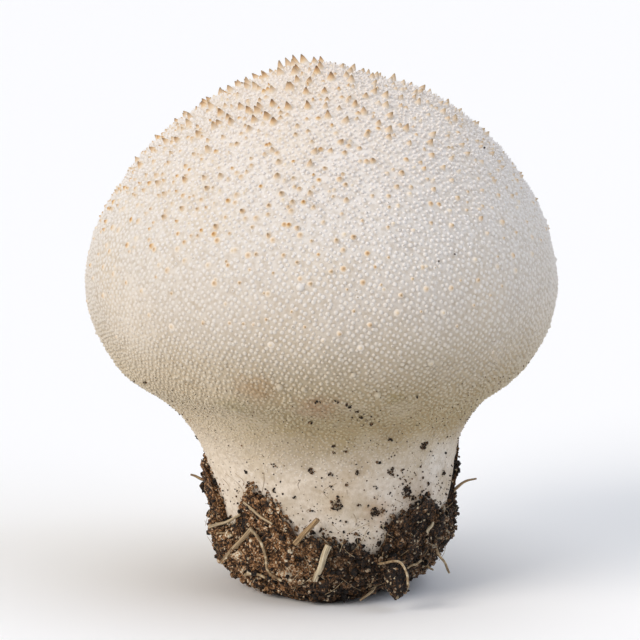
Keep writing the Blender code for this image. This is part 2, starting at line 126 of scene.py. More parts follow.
class Body:
    """The mushroom's skin: an outline turned round an axis that leans a little. In millimetres."""

    def __init__(self, head_radius, top, stem_radius):
        shape = [(r * head_radius, z * top) for r, z in OUTLINE]
        shape += [(r * stem_radius, z * stem_radius) for r, z in FOOT_OUTLINE]
        turned_back = [(-shape[1][0], shape[1][1]), *shape, (-shape[-2][0], shape[-2][1])]
        line = smooth_line(turned_back, 40)
        self.radius = np.maximum(line[:, 0], 0)
        self.height = line[:, 1]
        length = np.linalg.norm(np.diff(line, axis=0), axis=1)
        self.along = np.concatenate([[0], np.cumsum(length)])
        slope = np.gradient(line, self.along, axis=0)
        slope /= np.linalg.norm(slope, axis=1)[:, None]
        self.out = -slope[:, 1]
        self.up = slope[:, 0]

    def read(self, along, what):
        return np.interp(along, self.along, what)

    def along_at(self, height):
        """Distance from the crown along the outline, at a height above the foot."""
        return np.interp(-np.asarray(height), -self.height, self.along)

    def along_at_reach(self, reach):
        """Distance from the crown along the outline, at a distance from the axis on the crown."""
        widest = np.argmax(self.radius)
        return np.interp(reach, self.radius[:widest], self.along[:widest])

    def axis(self, height):
        lean = HEAD_LEAN * ease_between(*LEAN_HEIGHTS, height)
        return lean + CROWN_LEAN * ease_between(*CROWN_HEIGHTS, height)

    def even(self, along, azimuth, lift=0.0):
        """Points lift above the undented skin."""
        height = self.read(along, self.height)
        reach = self.read(along, self.radius)
        head = ease_between(*LEAN_HEIGHTS, height)
        for waves, share, phase in LOBES:
            reach = reach * (1 + head * share * np.sin(waves * azimuth + phase))
        reach = reach + lift * self.read(along, self.out)
        x = self.axis(height) + reach * np.sin(azimuth)
        y, z = -reach * np.cos(azimuth), height + lift * self.read(along, self.up)
        return np.stack([x, y, z], axis=-1)

    def points(self, along, azimuth, lift=0.0):
        """Points lift above the skin with its dents."""
        base = self.even(along, azimuth)
        head = ease_between(15, 21, base[:, 2])
        for seed, (size, on_head, on_stem) in enumerate(DENTS):
            lift = lift + rolling(base, size, seed) * (on_stem + (on_head - on_stem) * head)
        for middle, width, swell in SWELLINGS:
            far = np.linalg.norm(base - middle, axis=1)
            lift = lift + swell * np.exp(-((far / width) ** 2))
        return self.even(along, azimuth, lift)

    def axes(self, along, azimuth):
        """At each place, unit vectors down the skin, round it and out of it."""
        out, up = self.read(along, self.out), self.read(along, self.up)
        sin, cos = np.sin(azimuth), np.cos(azimuth)
        down = np.stack([up * sin, -up * cos, -out], axis=-1)
        round_ = np.stack([cos, sin, np.zeros_like(sin)], axis=-1)
        away = np.stack([out * sin, -out * cos, up], axis=-1)
        return np.stack([down, round_, away], axis=1)

    def unwrapped(self, along, azimuth):
        """Texture coordinates: round the body, and down it."""
        return np.stack([(azimuth / (2 * math.pi)) % 1.0, 1 - along / self.along[-1]], axis=-1)

    def spread(self, gaps, top, bottom, stray, dice):
        """Even places over a band, laid as seeds lie in a sunflower and then strayed a little.

        gaps are rows of (height, distance between neighbours), stray rows of a share of that distance.
        """
        along = np.linspace(self.along_at(top), self.along_at(bottom), 4000)
        gap = by_row(gaps, self.read(along, self.height))
        crowd = 2 * math.pi * self.read(along, self.radius) / (0.866 * gap**2)
        count = np.cumsum(crowd * np.gradient(along))
        number = np.arange(int(count[-1]))
        along = np.interp(number + 0.5, count, along)
        azimuth = number * GOLDEN_ANGLE
        height = self.read(along, self.height)
        gap = by_row(gaps, height) * by_row(stray, height)
        reach = np.maximum(self.read(along, self.radius), gap)
        along = np.maximum(along + dice.normal(0, 1, len(along)) * gap, 0.02)
        azimuth = azimuth + dice.normal(0, 1, len(along)) * gap / reach
        return along, (azimuth + math.pi) % (2 * math.pi) - math.pi

    def nearest(self, points):
        """(distance from the crown, azimuth, lift) of points near the skin."""
        x, y, z = points.T
        azimuth = np.arctan2(x - self.axis(z), -y)
        reach = np.hypot(x - self.axis(z), y)
        far = np.hypot(reach[:, None] - self.radius, z[:, None] - self.height)
        best = far.argmin(axis=1)
        out = (reach - self.radius[best]) * self.out[best] + (z - self.height[best]) * self.up[best]
        return self.along[best], azimuth, out


# ---------------------------------------------------------------- making meshes


def stamp(form, faces, places, axes, sizes):
    """Copies of a small closed form at many places, as points and triangles.

    form is one set of points, or one for each place. sizes has a row of three for each place.
    """
    form = np.broadcast_to(form, (len(places), *np.shape(form)[-2:]))
    points = (form * sizes[:, None, :]) @ axes + places[:, None, :]
    first = np.arange(len(places))[:, None, None] * form.shape[1]
    return points.reshape(-1, 3), (faces[None] + first).reshape(-1, 3)


def lathe(profile, sides):
    """A small closed form: rings of (radius, height) from its root up, and a point on top."""
    turns = 2 * math.pi * np.arange(sides) / sides
    cos, sin = np.cos(turns), np.sin(turns)
    rings = [np.stack([r * cos, r * sin, np.full(sides, h)], axis=1) for r, h in profile[:-1]]
    points = np.concatenate([*rings, [[0, 0, profile[-1][1]]]])
    faces = [(0, k + 1, k) for k in range(1, sides - 1)]
    for ring in range(len(rings) - 1):
        for k in range(sides):
            a, b = ring * sides + k, ring * sides + (k + 1) % sides
            faces += [(a, b, b + sides), (a, b + sides, a + sides)]
    last = (len(rings) - 1) * sides
    faces += [(last + k, last + (k + 1) % sides, len(points) - 1) for k in range(sides)]
    return points, np.array(faces)


def ball(subdivisions):
    """Points and triangles of a ball one unit across."""
    mesh = bmesh.new()
    bmesh.ops.create_icosphere(mesh, subdivisions=subdivisions, radius=0.5)
    points = np.array([vert.co for vert in mesh.verts])
    faces = np.array([[vert.index for vert in face.verts] for face in mesh.faces])
    mesh.free()
    return points, faces


def turns_about(axes, angles):
    """The same sets of axes, each turned about its third one."""
    cos, sin = np.cos(angles)[:, None], np.sin(angles)[:, None]
    first = axes[:, 0] * cos + axes[:, 1] * sin
    second = axes[:, 1] * cos - axes[:, 0] * sin
    return np.stack([first, second, axes[:, 2]], axis=1)


def any_axes(count, dice):
    """Sets of axes that point every way."""
    first = dice.normal(0, 1, (count, 3))
    first /= np.linalg.norm(first, axis=1)[:, None]
    second = np.cross(first, dice.normal(0, 1, (count, 3)))
    second /= np.linalg.norm(second, axis=1)[:, None]
    return np.stack([first, second, np.cross(first, second)], axis=1)


def grid_faces(rows, columns):
    """Quads of a closed band of rings, row by row from the top, facing out."""
    row, column = np.meshgrid(np.arange(rows - 1), np.arange(columns), indexing="ij")
    a = row * columns + column
    b = row * columns + (column + 1) % columns
    return np.stack([a, a + columns, b + columns, b], axis=-1).reshape(-1, 4)


def tube_faces(rows, columns):
    """Faces of a closed tube: its rings, then a point that closes the top and one for the foot."""
    faces = grid_faces(rows, columns).tolist()
    top, foot, last = rows * columns, rows * columns + 1, (rows - 1) * columns
    for k in range(columns):
        after = (k + 1) % columns
        faces.append([top, k, after])
        faces.append([foot, last + after, last + k])
    return faces


def piece(name, points, faces, material, stands_for, *, uv, smooth=True, values=None):
    """A visible piece from points in mm. It rides on the mushroom and may stand for nodes."""
    mesh = bpy.data.meshes.new(name)
    faces = [face.tolist() for face in faces] if isinstance(faces, np.ndarray) else faces
    mesh.from_pydata((np.asarray(points) * MM).tolist(), [], faces)
    mesh.materials.append(material)
    mesh.polygons.foreach_set("use_smooth", np.full(len(mesh.polygons), smooth))
    corners = np.empty(len(mesh.loops), np.int32)
    mesh.loops.foreach_get("vertex_index", corners)
    chart = mesh.uv_layers.new(name="OFBake")
    chart.data.foreach_set("uv", close_seam(uv[corners].reshape(-1, 2), mesh).ravel())
    for key, numbers in (values or {}).items():
        attribute = mesh.attributes.new(key, "FLOAT", "POINT")
        attribute.data.foreach_set("value", np.asarray(numbers, np.float32))
    mesh.update()
    obj = bpy.data.objects.new(name, mesh)
    bpy.context.scene.collection.objects.link(obj)
    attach(obj, "root")
    if stands_for:
        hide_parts(*stands_for)
    return obj


def close_seam(places, mesh):
    """Texture places of the corners, with no face running back across the whole chart."""
    starts = np.empty(len(mesh.polygons), np.int32)
    mesh.polygons.foreach_get("loop_start", starts)
    highest = np.maximum.reduceat(places[:, 0], starts)
    sizes = np.diff([*starts, len(places)])
    far = np.repeat(highest, sizes) - places[:, 0] > 0.5
    places = places.copy()
    places[far, 0] = 1.0
    return np.clip(places, 0, 1)


# ---------------------------------------------------------------- materials

COLOURS = {"data_type": "RGBA", "out": 2}  # a mix of two colours, at sockets 6 and 7
TIMES = {"operation": "MULTIPLY"}
RAMP_SPAN = 60  # millimetres of height that a ramp by height spans


def linear(code):
    """The linear colour of an sRGB hex code."""
    parts = [int(code[i : i + 2], 16) / 255 for i in (1, 3, 5)]
    return tuple(c / 12.92 if c <= 0.04045 else ((c + 0.055) / 1.055) ** 2.4 for c in parts) + (1.0,)


def fill(tree, node, sockets):
    """Sets a node's sockets to values, hex colours or links."""
    for key, value in sockets.items():
        if isinstance(value, bpy.types.NodeSocket):
            tree.links.new(value, node.inputs[key])
        else:
            node.inputs[key].default_value = linear(value) if isinstance(value, str) else value


def add(tree, kind, sockets, stops=(), out=0, **settings):
    """Adds a node with its settings, sockets and a ramp's colour stops, and gives one output."""
    made = tree.nodes.new("ShaderNode" + kind)
    for key, value in settings.items():
        setattr(made, key, value)
    fill(tree, made, sockets)
    if stops:
        elements = made.color_ramp.elements
        while len(elements) < len(stops):
            elements.new(1.0)
        for element, (place, code) in zip(elements, stops):
            element.position = place
            element.color = linear(code)
    return made.outputs[out]


def new_material(name, **finish):
    """A material, its tree, and its Principled shader with some finish."""
    material = bpy.data.materials.new(name)
    material.use_nodes = True
    tree = material.node_tree
    shader = tree.nodes["Principled BSDF"]
    fill(tree, shader, {key.replace("_", " "): value for key, value in finish.items()})
    return material, tree, shader


def millimetres(tree):
    """Places on the piece in millimetres."""
    place = add(tree, "TexCoord", {}, out="Object")
    return add(tree, "VectorMath", {0: place, "Scale": 1 / MM}, operation="SCALE")


def by_height(tree, place, stops, waver):
    """A colour for each height above the foot, in bands that waver by some millimetres."""
    height = add(tree, "SeparateXYZ", {0: place}, out="Z")
    sway = add(tree, "TexNoise", {"Vector": place, "Scale": 1 / 6.0, "Detail": 3.0})
    sway = add(tree, "Math", {0: sway, 1: 2 * waver, 2: -waver}, operation="MULTIPLY_ADD")
    height = add(tree, "Math", {0: height, 1: sway}, operation="ADD")
    share = add(tree, "Math", {0: height, 1: 1 / RAMP_SPAN}, **TIMES)
    return add(tree, "ValToRGB", {0: share}, [(row / RAMP_SPAN, code) for row, code in stops])


# Ground colour of the skin by height in millimetres: the foot, the neck, the crown
# The dark tan band from about 16 to 33 mm is partly the skin's own tan and partly painted shade under
# the head
GROUND_WITH_PAINTED_SHADE = (
    (0, "#D2C8BA"), (9, "#DAD0C3"), (13, "#D7CCBE"), (16, "#CABDAA"), (19, "#AA9875"),
    (22.5, "#A39271"), (27, "#B8AB96"), (33, "#CBC2B7"), (41, "#DAD4CD"), (48, "#E2DCD6"),
    (56, "#E6DDD4"),
)
# Pearls stand out white on the shaded underside and melt into the crown
# Their tops from about 17 to 27 mm are darker, partly their own tan and partly painted shade under the
# head
PEARLS_WITH_PAINTED_SHADE = (
    (0, "#DCD2C4"), (14, "#D8CFC3"), (17, "#CABDA8"), (20, "#BBAC8B"), (24, "#C6B9A0"),
    (30, "#D8D0C5"), (37, "#DFDAD4"), (42, "#E5E1DE"), (56, "#E8E0D8"),
)
# Stains left by drops and rubbed soil: middle and width in mm, strength, colour
STAINS = (
        ((-7.6, -21.2, 25.2), 2.1, 0.75, "#A5845C"), ((-1.4, -20.6, 23.0), 2.1, 0.7, "#A58468"),
    ((-10.0, -18.1, 22.5), 1.7, 0.6, "#8F8450"), ((6.4, -20.1, 24.0), 1.0, 0.5, "#9A8A5A"),
    ((4.6, -11.5, 10.4), 1.5, 0.7, "#B5987A"), ((8.6, -8.9, 11.5), 2.2, 0.7, "#A08B72"),
    ((0.4, -12.3, 11.3), 1.0, 0.6, "#B59A76"), ((1.6, -12.2, 14.2), 2.4, 0.5, "#BDA98E"),
    ((-2.5, -14.3, 17.8), 2.8, 0.5, "#A8977A"), ((10.6, -6.8, 15.0), 2.6, 0.5, "#E8E4DE"),
    ((-19.5, -13.5, 30.0), 4.6, 0.4, "#E8DFD3"),
    ((10.5, 15.2, 22.0), 2.0, 0.7, "#A5845C"), ((-9.0, 15.1, 20.5), 1.9, 0.6, "#8F8450"),
)
# Patches on the skin: width and detail, where the noise starts and ends them, strength, colour
CLOUDS = (8.0, 3.0, 0.45, 0.72, 0.3, "#D2BC9A")
THIN_SKIN = (4.0, 4.0, 0.5, 0.75, 0.22, "#E8E5E1")
MOTTLE = (0.5, 3.0, 0.42, 0.72, 0.42, "#A08B6C")
SPECKLE = (0.62, 0.8, 0.88, 0.94, 0.985)  # shares of the pearls, from plain ones to dark ones
SPECKLE_COLOURS = ("#F0EBE4", "#EDE6DC", "#DCCDB2", "#C4AD84", "#A68A5C", "#6E5636")


def patched(tree, place, colour, size, detail, low, high, strength, code):
    """A colour with patches of another."""
    noise = add(tree, "TexNoise", {"Vector": place, "Scale": 1 / size, "Detail": detail})
    patch = add(tree, "MapRange", {"Value": noise, "From Min": low, "From Max": high})
    patch = add(tree, "Math", {0: patch, 1: strength}, **TIMES)
    return add(tree, "Mix", {0: patch, 6: colour, 7: code}, **COLOURS)


def stained(tree, place, colour):
    """Brown and olive stains, a few millimetres wide, where damp soil has touched the neck."""
    height = add(tree, "SeparateXYZ", {0: place}, out="Z")
    below = add(tree, "MapRange", {"Value": height, "From Min": 28.0, "From Max": 21.0})
    noise = add(tree, "TexNoise", {"Vector": place, "Scale": 1 / 3.4, "Detail": 4.0, "Roughness": 0.6})
    patch = add(tree, "MapRange", {"Value": noise, "From Min": 0.48, "From Max": 0.66})
    patch = add(tree, "Math", {0: patch, 1: below}, **TIMES)
    patch = add(tree, "Math", {0: patch, 1: 0.42}, **TIMES)
    noise = add(tree, "TexNoise", {"Vector": place, "Scale": 1 / 6.0})
    brown = add(tree, "ValToRGB", {0: noise}, ((0.4, "#937F5F"), (0.6, "#A8946F")))
    colour = add(tree, "Mix", {0: patch, 6: colour, 7: brown}, **COLOURS)
    for middle, width, strength, code in STAINS:
        far = add(tree, "VectorMath", {0: place, 1: middle}, out="Value", operation="DISTANCE")
        sockets = {"Vector": place, "Scale": 1 / 1.1, "Detail": 4.0, "Roughness": 0.65}
        far = {0: add(tree, "TexNoise", sockets), 1: 2.4 * width, 2: far}  # with a ragged edge
        far = add(tree, "Math", far, operation="MULTIPLY_ADD")
        sockets = {"Value": far, "From Min": 2.6 * width, "From Max": 1.4 * width}
        patch = add(tree, "Math", {0: add(tree, "MapRange", sockets), 1: strength}, **TIMES)
        colour = add(tree, "Mix", {0: patch, 6: colour, 7: code}, **COLOURS)
    # Painted light: the left side of neck and stem, towards the key light, is made paler
    side = add(tree, "SeparateXYZ", {0: place}, out="X")
    left = add(tree, "MapRange", {"Value": side, "From Min": -4.0, "From Max": -12.0})
    left = add(tree, "Math", {0: left, 1: below}, **TIMES)
    left = add(tree, "Math", {0: left, 1: 0.46}, **TIMES)
    return add(tree, "Mix", {0: left, 6: colour, 7: "#ECDECB"}, **COLOURS)


def skin_material():
    """Puffball skin, fresh and matte. The eye gets a dry, powdery cream with faint warm clouds."""
    name = "puffball skin, fresh and powdery"
    material, tree, shader = new_material(name, Roughness=0.85, IOR=1.45, Specular_IOR_Level=0.2)
    place = millimetres(tree)
    # Ground colour by height, with painted shade in the band under the head
    colour = by_height(tree, place, GROUND_WITH_PAINTED_SHADE, 1.6)
    colour = patched(tree, place, colour, *CLOUDS)
    colour = patched(tree, place, colour, *THIN_SKIN)
    colour = stained(tree, place, colour)
    colour = patched(tree, place, colour, *MOTTLE)
    # Dust of the soil: dots of a tenth of a millimetre, thicker in patches towards the foot
    cells = {"Vector": place, "Scale": 1 / 0.7, "Randomness": 1.0}
    dots = add(tree, "TexVoronoi", cells, out="Distance")
    dirt = add(tree, "Math", {0: dots, 1: 0.13}, operation="LESS_THAN")
    noise = add(tree, "TexNoise", {"Vector": place, "Scale": 1 / 3.0})
    height = add(tree, "SeparateXYZ", {0: place}, out="Z")
    for value, low, high in ((noise, 0.42, 0.56), (height, 24.0, 15.0)):
        share = add(tree, "MapRange", {"Value": value, "From Min": low, "From Max": high})
        dirt = add(tree, "Math", {0: dirt, 1: share}, **TIMES)
    colour = add(tree, "Mix", {0: dirt, 6: colour, 7: "#4E3C28"}, **COLOURS)
    fine = add(tree, "TexNoise", {"Vector": place, "Scale": 1 / 0.2, "Detail": 3.0, "Roughness": 0.6})
    bump = add(tree, "Bump", {"Height": fine, "Strength": 0.7, "Distance": 0.1 * MM})
    fill(tree, shader, {"Base Color": colour, "Normal": bump})
    return material


def pearl_material():
    """Granules of the outer coat, soft and powdery. The eye gets round pearls, white on top."""
    name = "puffball granule, soft and white"
    material, tree, shader = new_material(name, Roughness=0.36, IOR=1.45, Specular_IOR_Level=0.5)
    place = millimetres(tree)
    # Pearl tops by height, with painted shade under the head and a paler left side that is painted
    # light
    tops = stained(tree, place, by_height(tree, place, PEARLS_WITH_PAINTED_SHADE, 1.2))
    roots = by_height(tree, place, GROUND_WITH_PAINTED_SHADE, 1.6)
    rise = add(tree, "Attribute", {}, out="Fac", attribute_name="rise")
    colour = add(tree, "Mix", {0: rise, 6: roots, 7: tops}, **COLOURS)
    own = add(tree, "Attribute", {}, out="Fac", attribute_name="tone")
    # Only the tip of a granule is stained, and of most it hardly is
    tip = add(tree, "MapRange", {"Value": rise, "From Min": 0.72, "From Max": 0.98})
    faint = add(tree, "MapRange", {"Value": own, "From Min": 0.2, "From Max": SPECKLE[0]})
    faint = add(tree, "Math", {0: faint, 1: tip}, **TIMES)
    faint = add(tree, "Math", {0: faint, 1: 0.28}, **TIMES)
    colour = add(tree, "Mix", {0: faint, 6: colour, 7: "#A79A7C"}, **COLOURS)
    strong = add(tree, "Math", {0: own, 1: SPECKLE[0]}, operation="GREATER_THAN")
    strong = add(tree, "Math", {0: strong, 1: tip}, **TIMES)
    speckled = add(tree, "ValToRGB", {0: own}, tuple(zip((0.0, *SPECKLE), SPECKLE_COLOURS)))
    colour = add(tree, "Mix", {0: strong, 6: colour, 7: speckled}, **COLOURS)
    fill(tree, shader, {"Base Color": colour})
    return material


def spine_material():
    """Spines of the outer coat, dry and horny towards the tip: cream foot, ochre body, brown tip."""
    name = "puffball spine, drying to brown at the tip"
    material, tree, shader = new_material(name, Roughness=0.68, IOR=1.45, Specular_IOR_Level=0.3)
    noise = add(tree, "TexNoise", {"Vector": millimetres(tree), "Scale": 1 / 0.25})
    waver = add(tree, "Math", {0: noise, 1: 0.3, 2: -0.15}, operation="MULTIPLY_ADD")
    rise = add(tree, "Attribute", {}, out="Fac", attribute_name="rise")
    rise = add(tree, "Math", {0: rise, 1: waver}, operation="ADD")
    ripe = add(tree, "Attribute", {}, out="Fac", attribute_name="ripe")
    body = add(tree, "ValToRGB", {0: rise}, (
        (0.0, "#DFD6CC"), (0.14, "#E0CFB7"), (0.36, "#D6B486"),
        (0.58, "#BB8F5B"), (0.78, "#8A5E38"), (0.94, "#47301F"),
    ))
    pale = add(tree, "ValToRGB", {0: rise}, (
        (0.0, "#DDD5CB"), (0.45, "#DED3C4"), (0.78, "#D2BF9E"), (1.0, "#B79C72"),
    ))
    fill(tree, shader, {"Base Color": add(tree, "Mix", {0: ripe, 6: pale, 7: body}, **COLOURS)})
    return material


# Soil by tone, from wet humus to the few pale grains of sand
SOIL_TONES = (
    (0.0, "#0D0906"), (0.24, "#1F160E"), (0.4, "#442D1A"), (0.54, "#6F4D2E"), (0.66, "#906A42"),
    (0.78, "#A5714A"), (0.9, "#BE9F76"), (1.0, "#E0D5BE"),
)


def soil_material():
    """Moist garden soil, pressed on. The eye gets dark crumbs with brown, rusty and sandy ones."""
    material, tree, shader = new_material("garden soil, moist crumb", IOR=1.4, Specular_IOR_Level=0.45)
    place = millimetres(tree)
    tone = add(tree, "Attribute", {}, out="Fac", attribute_name="tone")
    fine = add(tree, "TexNoise", {"Vector": place, "Scale": 1 / 0.22, "Detail": 3.0, "Roughness": 0.7})
    mixed = add(tree, "Math", {0: fine, 1: 2.7, 2: -1.38}, operation="MULTIPLY_ADD")
    mixed = add(tree, "Math", {0: mixed, 1: tone}, operation="ADD")
    colour = add(tree, "ValToRGB", {0: mixed}, SOIL_TONES)
    # Painted shade: the right side, turned away from the key light, is darkened
    side = add(tree, "SeparateXYZ", {0: place}, out="X")
    right = add(tree, "MapRange", {"Value": side, "From Min": -5.5, "From Max": 0.5})
    right = add(tree, "Math", {0: right, 1: 0.5}, **TIMES)
    colour = add(tree, "Mix", {0: right, 6: colour, 7: "#140C06"}, **COLOURS)
    # Grains of sand, a third of a millimetre wide: one cell in fourteen is pale
    cells = {"Vector": place, "Scale": 1 / 0.36, "Randomness": 1.0}
    pick = add(tree, "SeparateColor", {0: add(tree, "TexVoronoi", cells, out="Color")})
    sand = add(tree, "Math", {0: pick, 1: 0.93}, operation="GREATER_THAN")
    middle = add(tree, "TexVoronoi", cells, out="Distance")
    middle = add(tree, "Math", {0: middle, 1: 0.42}, operation="LESS_THAN")
    sand = add(tree, "Math", {0: sand, 1: middle}, **TIMES)
    sand = add(tree, "Math", {0: sand, 1: 0.8}, **TIMES)
    colour = add(tree, "Mix", {0: sand, 6: colour, 7: "#C8B698"}, **COLOURS)
    noise = add(tree, "TexNoise", {"Vector": place, "Scale": 1 / 0.5})
    wet = add(tree, "MapRange", {"Value": noise, "To Min": 0.35, "To Max": 0.95})
    bump = add(tree, "Bump", {"Height": fine, "Strength": 1.0, "Distance": 0.16 * MM})
    fill(tree, shader, {"Base Color": colour, "Roughness": wet, "Normal": bump})
    return material


def straw_material():
    """Dry grass, split and bleached. The eye gets brown to silver stalks, streaked along."""
    name = "dry grass, bleached"
    material, tree, shader = new_material(name, Roughness=0.6, IOR=1.5, Specular_IOR_Level=0.35)
    chart = add(tree, "UVMap", {}, uv_map="OFBake")
    streak = add(tree, "Mapping", {0: chart, "Scale": (9.0, 1.4, 1.0)})
    fibre = add(tree, "TexNoise", {"Vector": streak, "Scale": 1.0, "Detail": 3.0, "Roughness": 0.6})
    tone = add(tree, "Attribute", {}, out="Fac", attribute_name="tone")
    stops = (0.32, 0.45, 0.56, 0.68)
    codes = ("#3E2B18", "#77552F", "#9C7744", "#C3A06A"), ("#5A4A36", "#A8977A", "#CFC1A4", "#E6DCC8")
    brown, silver = (add(tree, "ValToRGB", {0: fibre}, tuple(zip(stops, row))) for row in codes)
    colour = add(tree, "Mix", {0: tone, 6: brown, 7: silver}, **COLOURS)
    bump = add(tree, "Bump", {"Height": fibre, "Strength": 0.7, "Distance": 0.06 * MM})
    fill(tree, shader, {"Base Color": colour, "Normal": bump})
    return material


def root_material():
    """Fine root, dried and dusty. The eye gets thin grey-tan lines against the dark soil."""
    name = "fine root, dusty"
    material, tree, shader = new_material(name, Roughness=0.7, IOR=1.45, Specular_IOR_Level=0.3)
    noise = add(tree, "TexNoise", {"Vector": millimetres(tree), "Scale": 1 / 0.5, "Detail": 3.0})
    stops = ((0.3, "#6E5840"), (0.5, "#A08A6A"), (0.7, "#D2C4A8"))
    fill(tree, shader, {"Base Color": add(tree, "ValToRGB", {0: noise}, stops)})
    return material


# ---------------------------------------------------------------- settings


class PuffballSkin(bpy.types.PropertyGroup):
    head_radius: bpy.props.FloatProperty(
        name="Head radius", description="Radius of the head without its granules",
        default=24.72 * MM, unit="LENGTH",
    )
    top: bpy.props.FloatProperty(
        name="Height", description="Height of the crown's skin above the ground",
        default=55.5 * MM, unit="LENGTH",
    )
    stem_radius: bpy.props.FloatProperty(
        name="Stem radius", description="Radius of the stem at the soil",
        default=12.25 * MM, unit="LENGTH",
    )
    rows: bpy.props.IntProperty(
        name="Rows", description="Rings of points from crown to foot", default=190,
    )
    columns: bpy.props.IntProperty(name="Columns", description="Points round each ring", default=252)


class PuffballCoat(bpy.types.PropertyGroup):
    seed: bpy.props.IntProperty(
        name="Seed", description="Changes where each granule strays", default=11,
    )
    spine_height: bpy.props.FloatProperty(
        name="Spine height", description="Height of a crown spine", default=1.0 * MM, unit="LENGTH",
    )
    spine_width: bpy.props.FloatProperty(
        name="Spine width", description="Width of a crown spine at its root",
        default=0.84 * MM, unit="LENGTH",
    )
    crowding: bpy.props.FloatProperty(
        name="Crowding", description="Distance between granules, as a share of the grown one",
        default=1.0,
    )


class PuffballSoil(bpy.types.PropertyGroup):
    seed: bpy.props.IntProperty(name="Seed", description="Changes the crumbs and lumps", default=23)
    crumbs: bpy.props.IntProperty(
        name="Crumbs", description="Loose crumbs pressed on the crust", default=5200,
    )
    columns: bpy.props.IntProperty(name="Columns", description="Points round the crust", default=520)


class PuffballStudio(bpy.types.PropertyGroup):
    floor: bpy.props.FloatVectorProperty(
        name="Floor", description="Colour of the floor", subtype="COLOR", default=linear("#F8F8F8")[:3],
    )
    distance: bpy.props.FloatProperty(
        name="Camera distance", description="From the camera to the mushroom",
        default=0.4, unit="LENGTH",
    )
    elevation: bpy.props.FloatProperty(
        name="Elevation", description="Camera's angle above the horizontal",
        default=math.radians(10), subtype="ANGLE",
    )


def the_body():
    settings = bpy.context.scene.puffball_skin
    return Body(settings.head_radius / MM, settings.top / MM, settings.stem_radius / MM)


# ---------------------------------------------------------------- pieces

SOIL_COVERS = 4.0  # height below which soil hides the skin all round, in mm


class PUFFBALL_OT_skin(bpy.types.Operator):
    """Grow the skin of head, neck and stem, with its dents"""

    bl_idname = "puffball.skin"
    bl_label = "Grow skin"

    def execute(self, context):
        settings = context.scene.puffball_skin
        body = the_body()
        shown = np.linspace(0.3, body.along_at(SOIL_COVERS), settings.rows)
        hidden = np.linspace(body.along_at(SOIL_COVERS), body.along[-1] - 2.0, 12)[1:]
        along = np.concatenate([shown, hidden])
        azimuth = np.linspace(-math.pi, math.pi, settings.columns, endpoint=False)
        rows, turns = (grid.ravel() for grid in np.meshgrid(along, azimuth, indexing="ij"))
        ends = body.points(np.array([0, body.along[-1]]), np.zeros(2))
        points = np.concatenate([body.points(rows, turns), ends])
        uv = np.stack([(turns + math.pi) / (2 * math.pi), 1 - rows / body.along[-1]], axis=-1)
        uv = np.concatenate([uv, [[0.5, 1.0], [0.5, 0.0]]])
        faces = tube_faces(len(along), settings.columns)
        piece("puffball_skin", points, faces, skin_material(), ["puffball"], uv=uv)
        return {"FINISHED"}


# The tallest spines on the skyline that the photograph shows: sideways from the foot's axis, and
# height, both in millimetres. The first ones are the tuft, left of the middle
SKYLINE = (
    (-5.1, 1.2), (-4.2, 1.25), (-3.5, 1.3), (-2.7, 1.05), (-1.7, 0.75), (0.2, 0.7), (1.2, 0.6),
    (2.3, 0.85), (3.9, 0.85), (5.0, 0.72), (6.4, 0.95), (7.4, 0.55), (8.2, 0.7), (9.3, 0.8),
    (10.1, 0.6), (11.1, 0.55), (12.0, 0.75), (13.3, 0.6), (14.1, 0.5), (14.9, 0.55), (-5.9, 0.85),
    (-6.8, 0.8), (-7.6, 0.95), (-8.6, 0.8), (-9.5, 0.75), (-10.4, 0.8), (-11.3, 0.85),
    (-12.3, 0.65), (-13.4, 0.8), (-15.0, 0.6), (-15.9, 0.7),
)
TUFT = 4  # so many of them stand close to one line
DOWNWARD = 0.176  # slope at which the photograph looks down

# Rows of a height on the mushroom and a value there; values between rows blend. All in mm ...
SOLID_SPINES = ((56, 0.72), (50, 0.66), (44, 0.56), (38, 0.5), (30, 0.42))
SPINE_GAPS = ((56, 1.9), (48, 2.3), (40, 3.4))
SPINE_HEIGHTS = ((56, 0.88), (51, 0.84), (47, 0.7), (43, 0.56), (38, 0.44), (30, 0.36))
WART_GAPS = ((56, 1.4), (50, 1.45), (44, 1.55), (38, 1.85), (34, 3.0), (30, 6.0), (26, 9.0))
WART_HEIGHTS = ((56, 0.4), (48, 0.38), (42, 0.36), (36, 0.22), (26, 0.2))
WART_WIDTHS = ((56, 0.26), (44, 0.3), (30, 0.32))
PEARL_GAPS = (
    (56, 0.62), (46, 0.64), (36, 0.64), (28, 0.6), (22, 0.52), (19, 0.47), (16, 0.46), (13, 0.5),
)
PEARL_WIDTHS = ((56, 0.22), (44, 0.235), (32, 0.255), (24, 0.225), (19, 0.185), (14, 0.15))
PEARL_HEIGHTS = (
    (56, 0.32), (46, 0.32), (40, 0.25), (36, 0.2), (31, 0.2), (27, 0.3), (22, 0.28), (14, 0.12),
)
# ... and these in shares: of a gap, of the spines, of a height, of the ripest, of the pearls
SPINE_STRAY = ((56, 0.3), (0, 0.3))
SPINES_GROWN = ((56, 0.75), (50, 0.55), (44, 0.42), (36, 0.35))
WART_STRAY = ((56, 0.36), (0, 0.36))
WARTS_RIPE = ((40, 1.0), (33, 0.5), (28, 0.2))
PEARL_STRAY = ((56, 0.2), (36, 0.15), (28, 0.12), (25, 0.15), (21, 0.24), (13, 0.28))
PEARL_TALLEST = ((46, 1.5), (39, 1.15))
PEARLS_DIRTY = ((56, 0.12), (44, 0.1), (34, 0.04), (24, 0.04), (20, 0.1), (14, 0.1))
